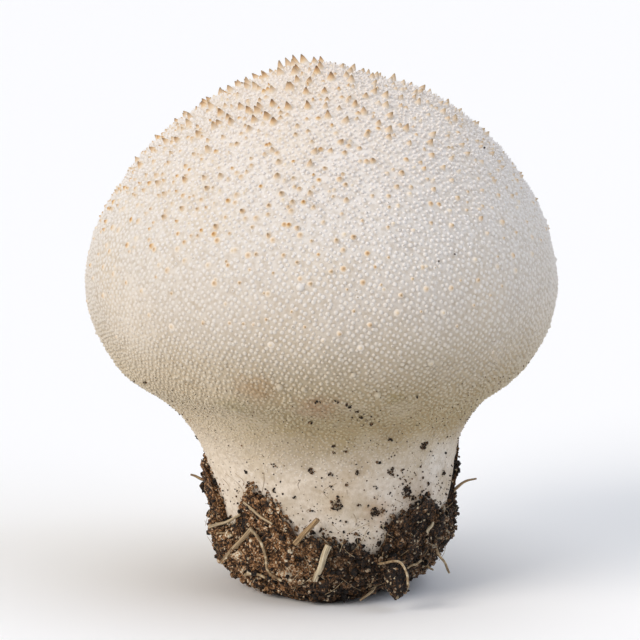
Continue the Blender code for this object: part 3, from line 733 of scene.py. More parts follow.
# Outlines of the small forms: radius and height from the root up
HORN = ((1.3, -0.16), (1.0, 0.02), (0.82, 0.2), (0.6, 0.45), (0.36, 0.72), (0.15, 0.93), (0.0, 1.0))
WART = ((1.5, -0.3), (1.1, 0.08), (0.7, 0.45), (0.36, 0.8), (0.0, 1.0))
POINTED = ((1.25, -0.35), (0.66, 0.48), (0.0, 1.0))
ROUND = ((1.2, -0.35), (0.8, 0.52), (0.0, 1.0))
PEARL_BANDS = (("crown", 40, 99, POINTED), ("flank", 27, 40, ROUND), ("underside", 0, 27, ROUND))
CHART_SPAN = (150, 100)  # millimetres round and down the body that the texture chart spans


def skyline_places(body, dice):
    """Where the skyline's spines stand: just behind the middle, where the skin turns away."""
    x = np.array([row[0] for row in SKYLINE]) - HEAD_LEAN - CROWN_LEAN
    y = np.full(len(x), 2.0)
    for _ in range(12):
        reach = np.hypot(x, y)
        along = body.along_at_reach(reach)
        y = DOWNWARD * reach * body.read(along, body.up) / body.read(along, body.out)
        y = np.clip(y, 0.5, 4.5)
    y = y + dice.uniform(-1.0, 1.0, len(x)) * np.where(np.arange(len(x)) < TUFT, 0.9, 2.3)
    return body.along_at_reach(np.hypot(x, y)), np.arctan2(x, -y)


def spine_places(body, dice):
    """Where the large spines stand: the skyline's, those of the mushroom's solid, and more between."""
    along, azimuth = skyline_places(body, dice)
    tall = np.array([row[1] for row in SKYLINE])
    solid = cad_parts["puffball"].data
    tips = np.empty(len(solid.vertices) * 3)
    solid.vertices.foreach_get("co", tips)
    tips = np.unique(np.round(tips.reshape(-1, 3) / MM, 3), axis=0)
    tip_along, tip_azimuth, lift = body.nearest(tips)
    height = body.read(tip_along, body.height)
    keep = (lift > by_row(SOLID_SPINES, height)) & (height > 31)
    groups = [
        (tip_along[keep], tip_azimuth[keep], 1.1),
        (*body.spread(SPINE_GAPS, 55.4, 40, SPINE_STRAY, dice), 1.25),
    ]
    for more_along, more_azimuth, room in groups:
        others = np.pad(body.even(along, azimuth), ((0, 0), (0, 1)))
        clear = clear_of(body.even(more_along, more_azimuth), others, room)
        more_along, more_azimuth = more_along[clear], more_azimuth[clear]
        height = body.read(more_along, body.height)
        grown = dice.random(len(height)) < by_row(SPINES_GROWN, height)
        large, small = dice.uniform(0.8, 1.15, len(height)), dice.uniform(0.4, 0.62, len(height))
        usual = by_row(SPINE_HEIGHTS, height) * np.where(grown, large, small)
        usual = usual * (1 - 0.2 * np.clip(np.sin(more_azimuth), 0, 1))
        along = np.concatenate([along, more_along])
        azimuth = np.concatenate([azimuth, more_azimuth])
        tall = np.concatenate([tall, usual])
    return along, azimuth, tall


def horns(sides, bend, ridges, dice, count):
    """Forms of spines, each bent and ridged its own way, with how far up each point is."""
    form, faces = lathe(HORN, sides)
    turns = np.arctan2(form[:, 1], form[:, 0])
    forms = np.repeat(form[None], count, axis=0)
    phase = dice.uniform(0, 2 * math.pi, (count, 1))
    swell = 1 + ridges * np.cos(3 * turns[None] + phase)
    swell = swell + dice.uniform(-0.07, 0.07, (count, len(form)))
    forms[:, :, :2] *= swell[:, :, None]
    way = dice.normal(0, bend, (count, 1, 2))
    forms[:, :, :2] += way * np.clip(form[None, :, 2:], 0, 1) ** 2
    return forms, faces, np.clip(form[:, 2], 0, 1)


def clear_of(places, others, room):
    """Which places are clear of others, rows of a point and its radius, by some room."""
    tree = KDTree(len(others))
    for index, row in enumerate(others):
        tree.insert(row[:3], index)
    tree.balance()
    clear = []
    for place in places:
        _, index, distance = tree.find(place)
        clear.append(distance > others[index, 3] + room)
    return np.array(clear)


def weathered(ripe, azimuth):
    """How ripe spines are, less so on the right side."""
    return ripe * (1 - 0.4 * np.clip(np.sin(azimuth), 0, 1))


def sow(name, body, at, form, faces, places, axes, sizes, material, rise, values):
    """A piece of many small forms on the skin. values hold one number for each form."""
    points, triangles = stamp(form, faces, places, axes, sizes)
    flat = np.broadcast_to(form, (len(places), *np.shape(form)[-2:])).reshape(-1, 3)[:, :2]
    corners = len(rise)
    uv = np.repeat(body.unwrapped(*at), corners, axis=0)
    uv = uv + flat * np.repeat(sizes[:, 0], corners)[:, None] / CHART_SPAN
    values = {key: np.repeat(own, corners) for key, own in values.items()}
    values["rise"] = np.tile(rise, len(places))
    piece(name, points, triangles, material, ["puffball"], uv=uv, values=values)


class PUFFBALL_OT_coat(bpy.types.Operator):
    """Cover the skin with spines, small warts and granules"""

    bl_idname = "puffball.coat"
    bl_label = "Grow spines and granules"

    def execute(self, context):
        coat = context.scene.puffball_coat
        body = the_body()
        dice = np.random.default_rng(coat.seed)
        horny = spine_material()
        spines = self.spines(body, coat, dice, horny)
        warts = self.warts(body, spines, dice, horny)
        self.granules(body, coat, np.concatenate([spines, warts]), dice)
        return {"FINISHED"}

    def spines(self, body, coat, dice, material):
        """The large spines of the crown and upper flanks. Gives their places and radii."""
        along, azimuth, tall = spine_places(body, dice)
        tall = tall * coat.spine_height / MM
        wide = 0.6 * np.sqrt(np.clip(tall, 0.2, 1.1)) * coat.spine_width / MM
        wide = wide * dice.uniform(0.88, 1.12, len(along))
        forms, faces, rise = horns(9, 0.22, 0.1, dice, len(along))
        axes = turns_about(body.axes(along, azimuth), dice.uniform(0, 6.3, len(along)))
        places = body.points(along, azimuth, -0.02)
        ripe = np.clip(0.35 + 0.6 * tall, 0, 1) * dice.uniform(0.55, 1.0, len(along))
        sow(
            "puffball_spines", body, (along, azimuth), forms, faces, places, axes,
            np.stack([wide, wide, tall], axis=1), material, rise, {"ripe": weathered(ripe, azimuth)},
        )
        return np.concatenate([places, wide[:, None]], axis=1)

    def warts(self, body, spines, dice, material):
        """The small ochre-tipped warts between the spines. Gives their places and radii."""
        along, azimuth = body.spread(WART_GAPS, 55.45, 24, WART_STRAY, dice)
        places = body.points(along, azimuth, -0.02)
        keep = clear_of(places, spines, 0.2)
        # The weathered left side has more of them than the right
        keep &= dice.random(len(along)) < 0.62 - 0.34 * np.sin(azimuth)
        along, azimuth, places = along[keep], azimuth[keep], places[keep]
        height = body.read(along, body.height)
        tall = by_row(WART_HEIGHTS, height) * dice.uniform(0.55, 1.3, len(along))
        wide = by_row(WART_WIDTHS, height) * dice.uniform(0.65, 1.25, len(along))
        form, faces = lathe(WART, 7)
        axes = turns_about(body.axes(along, azimuth), dice.uniform(0, 6.3, len(along)))
        # Their tips turn ochre but seldom dark
        rise = 0.78 * np.clip(form[:, 2], 0, 1) ** 1.15
        ripe = np.clip(0.5 + dice.normal(0, 0.38, len(along)), 0, 1) * by_row(WARTS_RIPE, height)
        sow(
            "puffball_warts", body, (along, azimuth), form, faces, places, axes,
            np.stack([wide, wide, tall], axis=1), material, rise, {"ripe": weathered(ripe, azimuth)},
        )
        return np.concatenate([places, wide[:, None]], axis=1)

    def granules(self, body, coat, larger, dice):
        """The fine pearls all over head and neck, in three pieces from crown to neck."""
        gaps = [(place, gap * coat.crowding) for place, gap in PEARL_GAPS]
        along, azimuth = body.spread(gaps, 55.47, 13.6, PEARL_STRAY, dice)
        places = body.points(along, azimuth, -0.05)
        keep = clear_of(places, larger, 0.1)
        height = body.read(along, body.height)
        # They thin out below the neck
        keep &= (height > 16.5) | (dice.random(len(height)) < (height - 12.5) / 4)
        along, azimuth, places, height = along[keep], azimuth[keep], places[keep], height[keep]
        wide = by_row(PEARL_WIDTHS, height) * dice.uniform(0.78, 1.15, len(along))
        # The crown's are pointed, and some stand taller than the rest
        tall = by_row(PEARL_HEIGHTS, height) * dice.uniform(0.7, by_row(PEARL_TALLEST, height))
        # A few pearls here and there grow to twice the size
        large = (dice.random(len(along)) < 0.004) & (height > 18) & (height < 42)
        wide[large] *= 1.7
        tall[large] *= 1.8
        axes = turns_about(body.axes(along, azimuth), dice.uniform(0, 6.3, len(along)))
        dirty = dice.random(len(along)) < by_row(PEARLS_DIRTY, height)
        tone = np.where(dirty, dice.uniform(SPECKLE[0], 1.0, len(along)), 0)
        tone = np.maximum(tone, dice.uniform(0, SPECKLE[0], len(along)))
        sizes = np.stack([wide, wide, tall], axis=1)
        material = pearl_material()
        for name, low, high, profile in PEARL_BANDS:
            form, faces = lathe(profile, 6)
            band = (height >= low) & (height < high)
            sow(
                "puffball_granules_" + name, body, (along[band], azimuth[band]), form, faces,
                places[band], axes[band], sizes[band], material,
                np.clip(form[:, 2] * 0.95 + 0.05, 0, 1), {"tone": tone[band]},
            )


# ---------------------------------------------------------------- soil

SPOT_RADIUS = (
    (-180, 8.0), (-120, 8.0), (-90, 7.6), (-60, 7.2), (-41, 7.6), (-20, 8.6), (-2, 9.0), (14, 7.4),
    (32, 5.8), (60, 5.0), (90, 5.4), (120, 7.2),
)  # azimuth in degrees, reach of the flat spot in mm
CRUST_RADIUS = 12.6
CRUST_OUTLINE = ((0.28, 0.4), (0.58, 1.5), (0.82, 3.2), (0.94, 5.2), (1.0, 7.0))
CRUST_THICKNESS = 0.68  # of the soil up the stem, between its lumps
RIM_HEIGHT = (
    (-104, 10.5), (-94, 12.6), (-84, 13.0), (-72, 12.4), (-66, 10.8), (-62, 8.2), (-55, 7.7),
    (-50, 8.6), (-46, 10.8), (-38, 12.6), (-33, 12.2), (-27, 11.1), (-21, 9.5), (-15, 7.7), (-9, 7.8),
    (-5, 7.2), (1, 7.6), (6, 7.0), (14, 6.7), (23, 6.1), (26.5, 7.6), (30, 9.1), (36, 9.5), (45, 10.5),
    (51, 11.0), (61, 9.9), (70, 8.1), (84, 8.3), (94, 13.0), (104, 16.4), (114, 11.0), (135, 9.0),
    (155, 11.5), (175, 9.4), (200, 7.0), (222, 9.6), (240, 8.2),
)  # azimuth in degrees, height of the crust's upper edge in mm
SOIL_SEED = 8041
LOAM = (
    (-4.6, -12.2, 3.6, 1.3), (-9.9, -9.0, 7.6, 0.8), (-4.8, -12.0, 2.4, 0.9), (3.2, -12.6, 4.4, 0.9),
    (9, 9, 5, 1.3), (-7, 11, 6, 1.2), (12, 3, 5, 0.9),
)  # middles of paler loam in the soil, and their width


def round_the_circle(rows, azimuth):
    """A smooth closed curve through rows of (azimuth in degrees, value), read at azimuths."""
    rows = sorted((row[0] % 360, row[1]) for row in rows)
    rows = [(rows[-1][0] - 360, rows[-1][1]), *rows, (rows[0][0] + 360, rows[0][1])]
    places, values = np.array(rows).T
    azimuth = np.asarray(azimuth) % 360
    after = np.clip(np.searchsorted(places, azimuth, side="right"), 1, len(places) - 1)
    share = (azimuth - places[after - 1]) / (places[after] - places[after - 1])
    ease = share * share * (3 - 2 * share)
    return values[after - 1] + (values[after] - values[after - 1]) * ease


def turned(reach, height, degrees):
    """Points at a reach from the foot's axis, a height and an azimuth in degrees."""
    turn = np.radians(degrees)
    return np.stack(np.broadcast_arrays(reach * np.sin(turn), -reach * np.cos(turn), height), axis=-1)


class Soil:
    """The crust's outer surface: a ragged cup with a flat spot below and lumps all over."""

    def __init__(self, body):
        self.body = body
        dice = random.Random(SOIL_SEED)
        self.lumps = []
        for _ in range(80):
            height, turn = dice.uniform(1, 12), dice.uniform(-math.pi, math.pi)
            place = turned(CRUST_RADIUS, height, math.degrees(turn))
            self.lumps.append((*place, dice.uniform(0.9, 1.6), dice.uniform(0.3, 0.75)))

    def line(self, degrees):
        """The even outer surface at an azimuth, as (reach, height) from the flat spot up."""
        spot = float(round_the_circle(SPOT_RADIUS, degrees))
        line = [(spot, 0.0)]
        line += [(spot + out * (CRUST_RADIUS - spot), up) for out, up in CRUST_OUTLINE]
        for height in range(9, 19):
            skin = self.body.read(self.body.along_at(height), self.body.radius)
            line.append((skin + CRUST_THICKNESS, height))
        return smooth_line([(spot - 1, 0), *line, (line[-1][0], 19)], 8)

    def lumpiness(self, points):
        """How far the lumps stand out at each point."""
        most = np.zeros(len(points))
        for x, y, z, wide, high in self.lumps:
            far = np.linalg.norm(points - (x, y, z), axis=1)
            most = np.maximum(most, high * np.exp(-((far / wide) ** 2)))
        return most

    def crumble(self, points):
        """Crumbs and clefts of the pressed soil, all standing out of the even surface."""
        coarse = rolling(points, 1.5, 31)
        middle = rolling(points, 0.7, 32)
        fine = rolling(points, 0.34, 33)
        return -0.2 + 0.34 * coarse + 0.46 * np.abs(middle) + 0.2 * fine

    def on_surface(self, degrees, height, lift):
        """A point lift outside the soil, in millimetres."""
        line = self.line(degrees)
        reach = float(np.interp(height, line[:, 1], line[:, 0]))
        point = turned(reach, height, degrees)
        reach += self.lumpiness(point[None])[0] + 0.05
        return turned(reach + lift, height, degrees)


def painted_light_and_loam(points):
    """How much paler the soil is at each point: painted light towards the left, where the key light
    falls, and real paler loam on a few patches.
    """
    # Painted light: paler towards the left
    dry = 0.16 * np.clip((1 - points[:, 0]) / 9, 0, 1)
    for x, y, z, wide in LOAM:
        far = np.linalg.norm(points - (x, y, z), axis=1)
        dry = dry + 0.25 * np.exp(-((far / wide) ** 4))
    return dry


def strew(name, places, sizes, tone, dice, material, stands_for, uneven=0.28, spans=(0.65, 1.2)):
    """Angular grains of these sizes and tones at these places."""
    form, faces = ball(1)
    forms = form[None] * (1 + dice.uniform(-uneven, uneven, (len(places), len(form), 1)))
    spans = sizes[:, None] * dice.uniform(*spans, (len(places), 3))
    points, triangles = stamp(forms, faces, places, any_axes(len(places), dice), spans)
    chart = np.stack([dice.random(len(places)) * 0.99, dice.random(len(places)) * 0.99], axis=1)
    uv = np.repeat(chart, len(form), axis=0) + np.tile(form[:, :2] + 0.5, (len(places), 1)) * 0.008
    tone = np.repeat(np.clip(tone, 0.02, 0.98), len(form))
    values = {"tone": tone}
    piece(name, points, triangles, material, stands_for, smooth=False, uv=uv, values=values)


class PUFFBALL_OT_soil(bpy.types.Operator):
    """Press the crust of soil round the foot, and strew its crumbs"""

    bl_idname = "puffball.soil"
    bl_label = "Press on soil"

    def execute(self, context):
        settings = context.scene.puffball_soil
        body = the_body()
        soil = Soil(body)
        dice = np.random.default_rng(settings.seed)
        material = soil_material()
        rim = self.crust(body, soil, settings, material)
        self.crumbs(body, soil, settings, rim, dice, material)
        self.clod(dice, material)
        return {"FINISHED"}

    def crust(self, body, soil, settings, material):
        """The crust itself. Gives the height of its upper edge all round."""
        degrees = np.linspace(-180, 180, settings.columns, endpoint=False)
        rim = round_the_circle(RIM_HEIGHT, degrees)
        edge = turned(14.0, 0.0, degrees)
        rim = rim + 1.0 * rolling(edge, 2.2, 41) + 0.5 * rolling(edge, 0.8, 42) - 0.2
        rows = []
        share_out = np.linspace(0, 1, 84)
        share_in = np.linspace(1, 0, 14)[1:]
        for turn, top in zip(degrees, rim):
            line = soil.line(turn)
            line = line[line[:, 1] <= max(top, 3.0)]
            length = np.concatenate([[0], np.cumsum(np.linalg.norm(np.diff(line, axis=0), axis=1))])
            stops = share_out * length[-1]
            outer = np.stack([np.interp(stops, length, line[:, i]) for i in (0, 1)], axis=1)
            low = np.interp(share_in, (0, 1), (body.along_at(2.6), body.along_at(outer[-1, 1])))
            inner = np.stack([body.read(low, body.radius) - 0.12, body.read(low, body.height)], axis=1)
            rows.append(np.concatenate([outer, inner]))
        rows = np.array(rows)  # column, row, (reach, height)
        columns, count = len(degrees), rows.shape[1]
        places = turned(rows[:, :, 0], rows[:, :, 1], degrees[:, None]).reshape(-1, 3)
        bump = soil.lumpiness(places) + soil.crumble(places)
        row = np.tile(np.arange(count), columns)
        fade = np.clip(row / 9, 0, 1) * np.clip((len(share_out) - row) / 10, 0.12, 1)
        bump = np.where(row < len(share_out), bump * fade, 0).reshape(columns, count)
        reach = rows[:, :, 0] + bump
        height = rows[:, :, 1] - 0.15 * bump * (rows[:, :, 1] > 0.6)
        points = turned(reach, np.maximum(height, 0), degrees[:, None])
        points[:, :, 0] += body.axis(points[:, :, 2])
        # Rings run from the flat spot up the outside and down into the cup
        points = points.transpose(1, 0, 2).reshape(-1, 3)
        points = np.concatenate([points, [[0, 0, 0], [0, 0, 2.0]]])
        faces = [face[::-1] for face in tube_faces(count, columns)]
        tone = 0.3 + 0.2 * rolling(points, 2.6, 51) + 0.24 * rolling(points, 0.7, 52)
        tone = tone + 0.25 * np.clip(rolling(points, 3.4, 53), 0, 1) + painted_light_and_loam(points)
        share = np.linspace(0, 1, count)
        turns = np.linspace(0, 1, columns, endpoint=False)
        uv = np.stack(np.meshgrid(turns, share), axis=-1).reshape(-1, 2)
        uv = np.concatenate([uv, [[0.5, 0], [0.5, 1]]])
        piece(
            "soil_crust_fine", points, faces, material, ["soil_crust"], smooth=False,
            uv=uv, values={"tone": tone},
        )
        return rim

    def crumbs(self, body, soil, settings, rim, dice, material):
        """Crumbs half sunk in the crust and strewn past its edge, smaller the higher they lie."""
        count = settings.crumbs
        degrees = dice.uniform(-180, 180, count)
        turns = np.linspace(0, 360, len(rim), endpoint=False)
        top = np.interp((degrees + 180) % 360, turns, rim, period=360)
        share = dice.random(count) ** 0.85 * 1.04
        height = np.where(dice.random(count) < 0.86, share * top, top + dice.exponential(0.7, count))
        height = np.clip(height, 0.7, 17)
        sizes = np.clip(dice.lognormal(-1.05, 0.42, count), 0.18, 0.95)
        sizes = np.where(height > top, sizes * np.exp(-(height - top) / 2.2), sizes)
        lines = (soil.line(round(turn / 6) * 6) for turn in degrees)
        reach = np.array([np.interp(h, *line.T[::-1]) for line, h in zip(lines, height)])
        skin = body.read(body.along_at(height), body.radius)
        above = np.clip((height - top + 0.4) / 0.8, 0, 1)
        base = turned(reach, height, degrees)
        reach = reach + (soil.lumpiness(base) + soil.crumble(base)) * (1 - above)
        reach = reach * (1 - above) + skin * above + sizes * 0.12
        places = turned(reach, height, degrees)
        places[:, 0] += body.axis(height)
        places[:, 2] = np.maximum(places[:, 2], sizes * 0.75)
        tone = 0.36 + 0.28 * rolling(places, 1.7, 71) + dice.normal(0, 0.25, count)
        tone = tone + painted_light_and_loam(places)
        pale = dice.random(count) < 0.09
        sizes = np.where(pale, sizes * 0.66, sizes)
        tone = np.where(pale, 0.98, tone)
        strew("soil_crumbs", places, sizes, tone, dice, material, ["soil_crust"])

    def clod(self, dice, material):
        """The dark clod in front, drawn out to a point below."""
        form, faces = ball(5)
        low = np.maximum(-form[:, 2], 0)
        form = form * CLOD_SIZE
        form[:, :2] *= (1 - 0.95 * low**2 * 1.6)[:, None]
        middle = turned(*CLOD_MIDDLE)
        away = form / np.linalg.norm(form, axis=1)[:, None]
        bump = 0.16 * rolling(form, 0.9, 61) + 0.12 * np.abs(rolling(form, 0.45, 62))
        bump = bump + 0.05 * rolling(form, 0.2, 63)
        points = form + away * bump[:, None] + middle
        points[:, 2] = np.maximum(points[:, 2], 0.35)
        tone = 0.21 + 0.24 * rolling(points, 0.5, 64) + 0.16 * rolling(points, 0.25, 65)
        turn = np.arctan2(form[:, 1], form[:, 0]) / (2 * math.pi) % 1
        chart = np.stack([turn, form[:, 2] / 4 + 0.5], axis=1)
        piece(
            "soil_clod_fine", points, faces, material, ["soil_clod"], smooth=False,
            uv=np.clip(chart, 0, 1), values={"tone": tone},
        )
        chosen = np.flatnonzero(dice.random(len(away)) < 0.13)
        sizes = np.clip(dice.lognormal(-1.3, 0.4, len(chosen)), 0.14, 0.55)
        pale = dice.random(len(chosen)) < 0.12
        tone = np.where(pale, 0.9, dice.normal(0.24, 0.16, len(chosen)))
        strew("soil_clod_crumbs", points[chosen], sizes, tone, dice, material, ["soil_clod"])


# ---------------------------------------------------------------- litter

# Radius at the first and last point, then points as azimuth in degrees, height and lift off the
# soil, all in mm
STRAWS = {
    "straw_left_spur": (0.26, 0.12, ((-91, 11.0, -0.4), (-91, 11.2, 0.4), (-91, 11.7, 1.5))),
    "straw_left_cross": (0.20, 0.16, ((-71, 7.1, 0.15), (-58, 8.1, 0.3), (-45, 9.5, 0.3))),
    "straw_left_long": (0.26, 0.22, ((-73, 3.0, 0.15), (-50, 6.0, 0.3), (-38, 8.3, 0.35))),
    "straw_left_thin": (0.16, 0.16, ((-40.6, 11.1, 0.3), (-33.5, 10.0, 0.3), (-26.6, 9.2, 0.2))),
    "straw_middle_brown": (0.32, 0.30, ((-16.7, 7.15, 0.3), (-11.2, 8.6, 0.4), (-5.8, 9.95, 0.45))),
    "straw_middle_pale": (0.36, 0.30, ((-1.3, 7.15, 0.35), (-4.1, 5.3, 0.45), (-7.7, 3.2, 0.1))),
    "straw_right_spur": (0.22, 0.10, ((90, 9.7, -0.3), (90, 10.8, 0.7), (90, 11.3, 2.1))),
    "straw_right_short": (0.22, 0.10, ((88, 6.1, -0.4), (88, 5.6, 0.3), (88, 5.1, 0.9))),
    "straw_right_chip": (0.20, 0.18, ((49.5, 7.2, 0.15), (51.6, 7.7, 0.25), (54, 8.3, 0.2))),
    "straw_right_low": (0.20, 0.10, ((62, 3.2, -0.4), (61, 3.1, 0.4), (60, 2.8, 1.3))),
    "straw_front_low": (0.18, 0.12, ((30, 2.26, -0.9), (24.3, 1.3, 0.4), (17, 0.45, 1.3))),
    "straw_back_long": (0.26, 0.22, ((150, 4.2, 0.15), (165, 6.0, 0.3), (178, 7.6, 0.3))),
    "straw_back_spur": (0.24, 0.10, ((-140, 5.6, -0.4), (-141, 6.2, 0.4), (-142, 7.1, 1.8))),
}
ROOTLETS = {
    "rootlet_left_curve": (
        0.16, 0.14,
        ((-37.1, 8.5, 1.0), (-33.6, 7.3, 0.3), (-32.2, 5.5, 0.3), (-31.6, 3.85, 0.3), (-25, 2.85, 0.2)),
    ),
    "rootlet_left_low": (0.16, 0.14, ((-50.8, 2.6, 0.2), (-41, 3.2, 0.3), (-34.5, 2.95, 0.2))),
    "rootlet_left_fine": (
        0.12, 0.12, ((-66, 6.4, -0.3), (-63, 6.7, 0.25), (-57, 7.0, 0.3), (-51.5, 6.9, 0.25)),
    ),
    "rootlet_right_hanging": (0.16, 0.12, ((61, 5.6, -0.3), (67, 3.9, 0.8), (75, 1.9, 2.9))),
    "rootlet_right_low": (0.13, 0.12, ((40.7, 3.7, 0.1), (45.2, 4.0, 0.2), (50.3, 4.2, 0.1))),
    "rootlet_back_curve": (0.16, 0.12, ((-165, 7.4, 0.2), (-152, 5.2, 0.3), (-156, 2.8, 0.3))),
    "rootlet_back_hanging": (0.16, 0.10, ((118, 6.0, -0.3), (121, 4.4, 0.7), (126, 2.4, 1.6))),
}
# How bleached each straw is, from 0, brown, to 1, silver; the others lie between
BLEACHED = {
    "straw_middle_pale": 1.0, "straw_middle_brown": 0.25, "straw_left_long": 0.45,
    "straw_left_cross": 0.7, "straw_left_thin": 0.6, "straw_left_spur": 0.35,
    "straw_right_spur": 0.3, "straw_right_low": 0.4, "straw_right_chip": 0.9,
    "straw_front_low": 0.5, "straw_right_short": 0.45,
}
STEM_FIBRES = (
    ((-58, 13.3), (-50, 12.7), (-45.5, 11.7)), ((-31, 14.4), (-32.5, 13.0), (-36, 11.4)),
    ((-66, 10.2), (-68, 8.4)), ((-67, 9.4), (-71, 7.5)),
)  # azimuth and height of fine fibres on the stem's left side
CLOD_MIDDLE = (14.6, 3.35, 27.6)  # reach, height and azimuth
CLOD_SIZE = (2.25, 1.95, 3.75)


def stalk(points, start, end, sides, rings, dice, grooves, wobble, flat=1.0):
    """A stalk along control points: grooved along its length, a little uneven, closed at both ends.

    Gives its points, faces and texture places.
    """
    points = np.asarray(points, float)
    ends = [2 * points[0] - points[1], *points, 2 * points[-1] - points[-2]]
    line = smooth_line(ends, 24)
    length = np.concatenate([[0], np.cumsum(np.linalg.norm(np.diff(line, axis=0), axis=1))])
    share = np.linspace(0, 1, rings)
    line = np.stack([np.interp(share * length[-1], length, line[:, i]) for i in range(3)], axis=1)
    line += dice.normal(0, wobble, 3) * np.sin(share * math.pi * 3 + dice.uniform(0, 6))[:, None]
    way = np.gradient(line, axis=0)
    way /= np.linalg.norm(way, axis=1)[:, None]
    across = np.cross(way[0], (0.31, 0.22, 0.93))
    turns = 2 * math.pi * np.arange(sides) / sides
    ridges = 1 + grooves * np.cos(turns * round(sides / 3) + 0.5)
    ridges = ridges + dice.uniform(-grooves, grooves, sides) * 0.6
    made = []
    for point, ahead, at in zip(line, way, share):
        across = across - ahead * (across @ ahead)
        across /= np.linalg.norm(across)
        over = np.cross(ahead, across)
        radius = (start + (end - start) * at) * (1 + dice.uniform(-0.05, 0.05)) * ridges
        side = np.cos(turns)[:, None] * across + flat * np.sin(turns)[:, None] * over
        made.append(point + radius[:, None] * side)
    points = np.concatenate([*made, line[:1], line[-1:]])
    faces = tube_faces(rings, sides)
    uv = np.stack(np.meshgrid(np.arange(sides) / sides, share), axis=-1).reshape(-1, 2)
    return points, facing_out(points, faces), np.concatenate([uv, [[0.5, 0], [0.5, 1]]])


def on_skin(body, degrees, height, lift):
    """A point lift outside the skin, in millimetres."""
    return body.points(np.array([body.along_at(height)]), np.radians([degrees]), lift)[0]


def facing_out(points, faces):
    """The same faces, turned round if they face inwards."""
    volume = 0.0
    for face in faces:
        for b, c in zip(face[1:], face[2:]):
            volume += np.dot(points[face[0]], np.cross(points[b], points[c]))
    return faces if volume > 0 else [face[::-1] for face in faces]


class PUFFBALL_OT_litter(bpy.types.Operator):
    """Lay the straws and rootlets in the soil"""

    bl_idname = "puffball.litter"
    bl_label = "Lay straws and roots"

    def execute(self, context):
        body = the_body()
        soil = Soil(body)
        dice = np.random.default_rng(37)
        grass, root = straw_material(), root_material()
        for name, (start, end, route) in STRAWS.items():
            line = [soil.on_surface(*point) for point in route]
            points, faces, uv = stalk(line, start, end, 14, 44, dice, 0.14, 0.03, flat=0.8)
            values = {"tone": np.full(len(points), BLEACHED.get(name, 0.5))}
            piece(name + "_fine", points, faces, grass, [name], uv=uv, values=values)
        for name, (start, end, route) in ROOTLETS.items():
            line = [soil.on_surface(*point) for point in route]
            points, faces, uv = stalk(line, start, end, 8, 50, dice, grooves=0.05, wobble=0.08)
            piece(name + "_fine", points, faces, root, [name], uv=uv)
        points, faces, uv = stalk(self.loop(soil), 0.15, 0.12, 8, 60, dice, grooves=0.05, wobble=0.03)
        piece("rootlet_loop_fine", points, faces, root, ["rootlet_loop"], uv=uv)
        routes = [[soil.on_surface(*point) for point in route] for route in self.hairs(dice)]
        self.bundle("soil_hairs", routes, 0.045, dice, root, ["soil_crust"])
        routes = [[on_skin(body, *point) for point in route] for route in self.fibres(dice)]
        self.bundle("stem_fibres", routes, 0.03, dice, root, [])
        return {"FINISHED"}

    def hairs(self, dice):
        """Routes of fine hairs that stick out of the soil: azimuth, height and lift."""
        routes = []
        for _ in range(190):
            turn, height = dice.uniform(-180, 180), dice.uniform(1.4, 9.5)
            far, rise, out = dice.normal(0, 5), dice.normal(0.1, 0.9), dice.uniform(0.1, 0.75)
            routes.append((
                (turn, height, -0.1), (turn + far * 0.5, max(height + rise * 0.6, 0.6), out * 0.7),
                (turn + far, max(height + rise, 0.7), out),
            ))
        return routes

    def fibres(self, dice):
        """Routes of fine fibres that cling to the white stem: azimuth, height and lift."""
        routes = [tuple((turn, height, 0.02) for turn, height in route) for route in STEM_FIBRES]
        for _ in range(22):
            turn, height = dice.uniform(-180, 180), dice.uniform(9, 15)
            far, fall = dice.normal(0, 4), dice.uniform(0.4, 2.0)
            middle, end = height - fall * 0.5, height - fall
            bent, tip = (turn + far, middle, 0.03), (turn + far * 0.6, end, 0.01)
            routes.append(((turn, height, 0.02), bent, tip))
        return routes

    def bundle(self, name, lines, radius, dice, material, stands_for):
        """Many thin stalks in one piece."""
        all_points, all_faces, charts, first = [], [], [], 0
        for line in lines:
            points, faces, uv = stalk(line, radius, radius * 0.5, 3, 7, dice, grooves=0, wobble=0)
            all_faces += [[index + first for index in face] for face in faces]
            all_points.append(points)
            charts.append(uv)
            first += len(points)
        points, uv = np.concatenate(all_points), np.concatenate(charts)
        piece(name, points, all_faces, material, stands_for, uv=uv)

    def loop(self, soil):
        """The root that comes out of the crust, runs over the clod and down its outer side."""
        middle = turned(*CLOD_MIDDLE)
        away = np.array((middle[0], middle[1], 0)) / math.hypot(middle[0], middle[1])
        side = np.array((-away[1], away[0], 0))
        width, depth, height = (size / 2 + 0.4 for size in CLOD_SIZE)
        up = np.array((0, 0, 1.0))
        return [
            soil.on_surface(23.5, 4.55, -0.5),
            middle - side * width * 0.5 + away * depth * 0.15 + up * height * 0.94,
            middle + away * depth * 0.55 + up * height * 0.9,
            middle + side * width * 0.3 + away * depth * 0.9 + up * height * 0.45,
            middle + side * width * 0.35 + away * depth * 0.98 - up * height * 0.1,
        ]


# ---------------------------------------------------------------- dirt on the mushroom

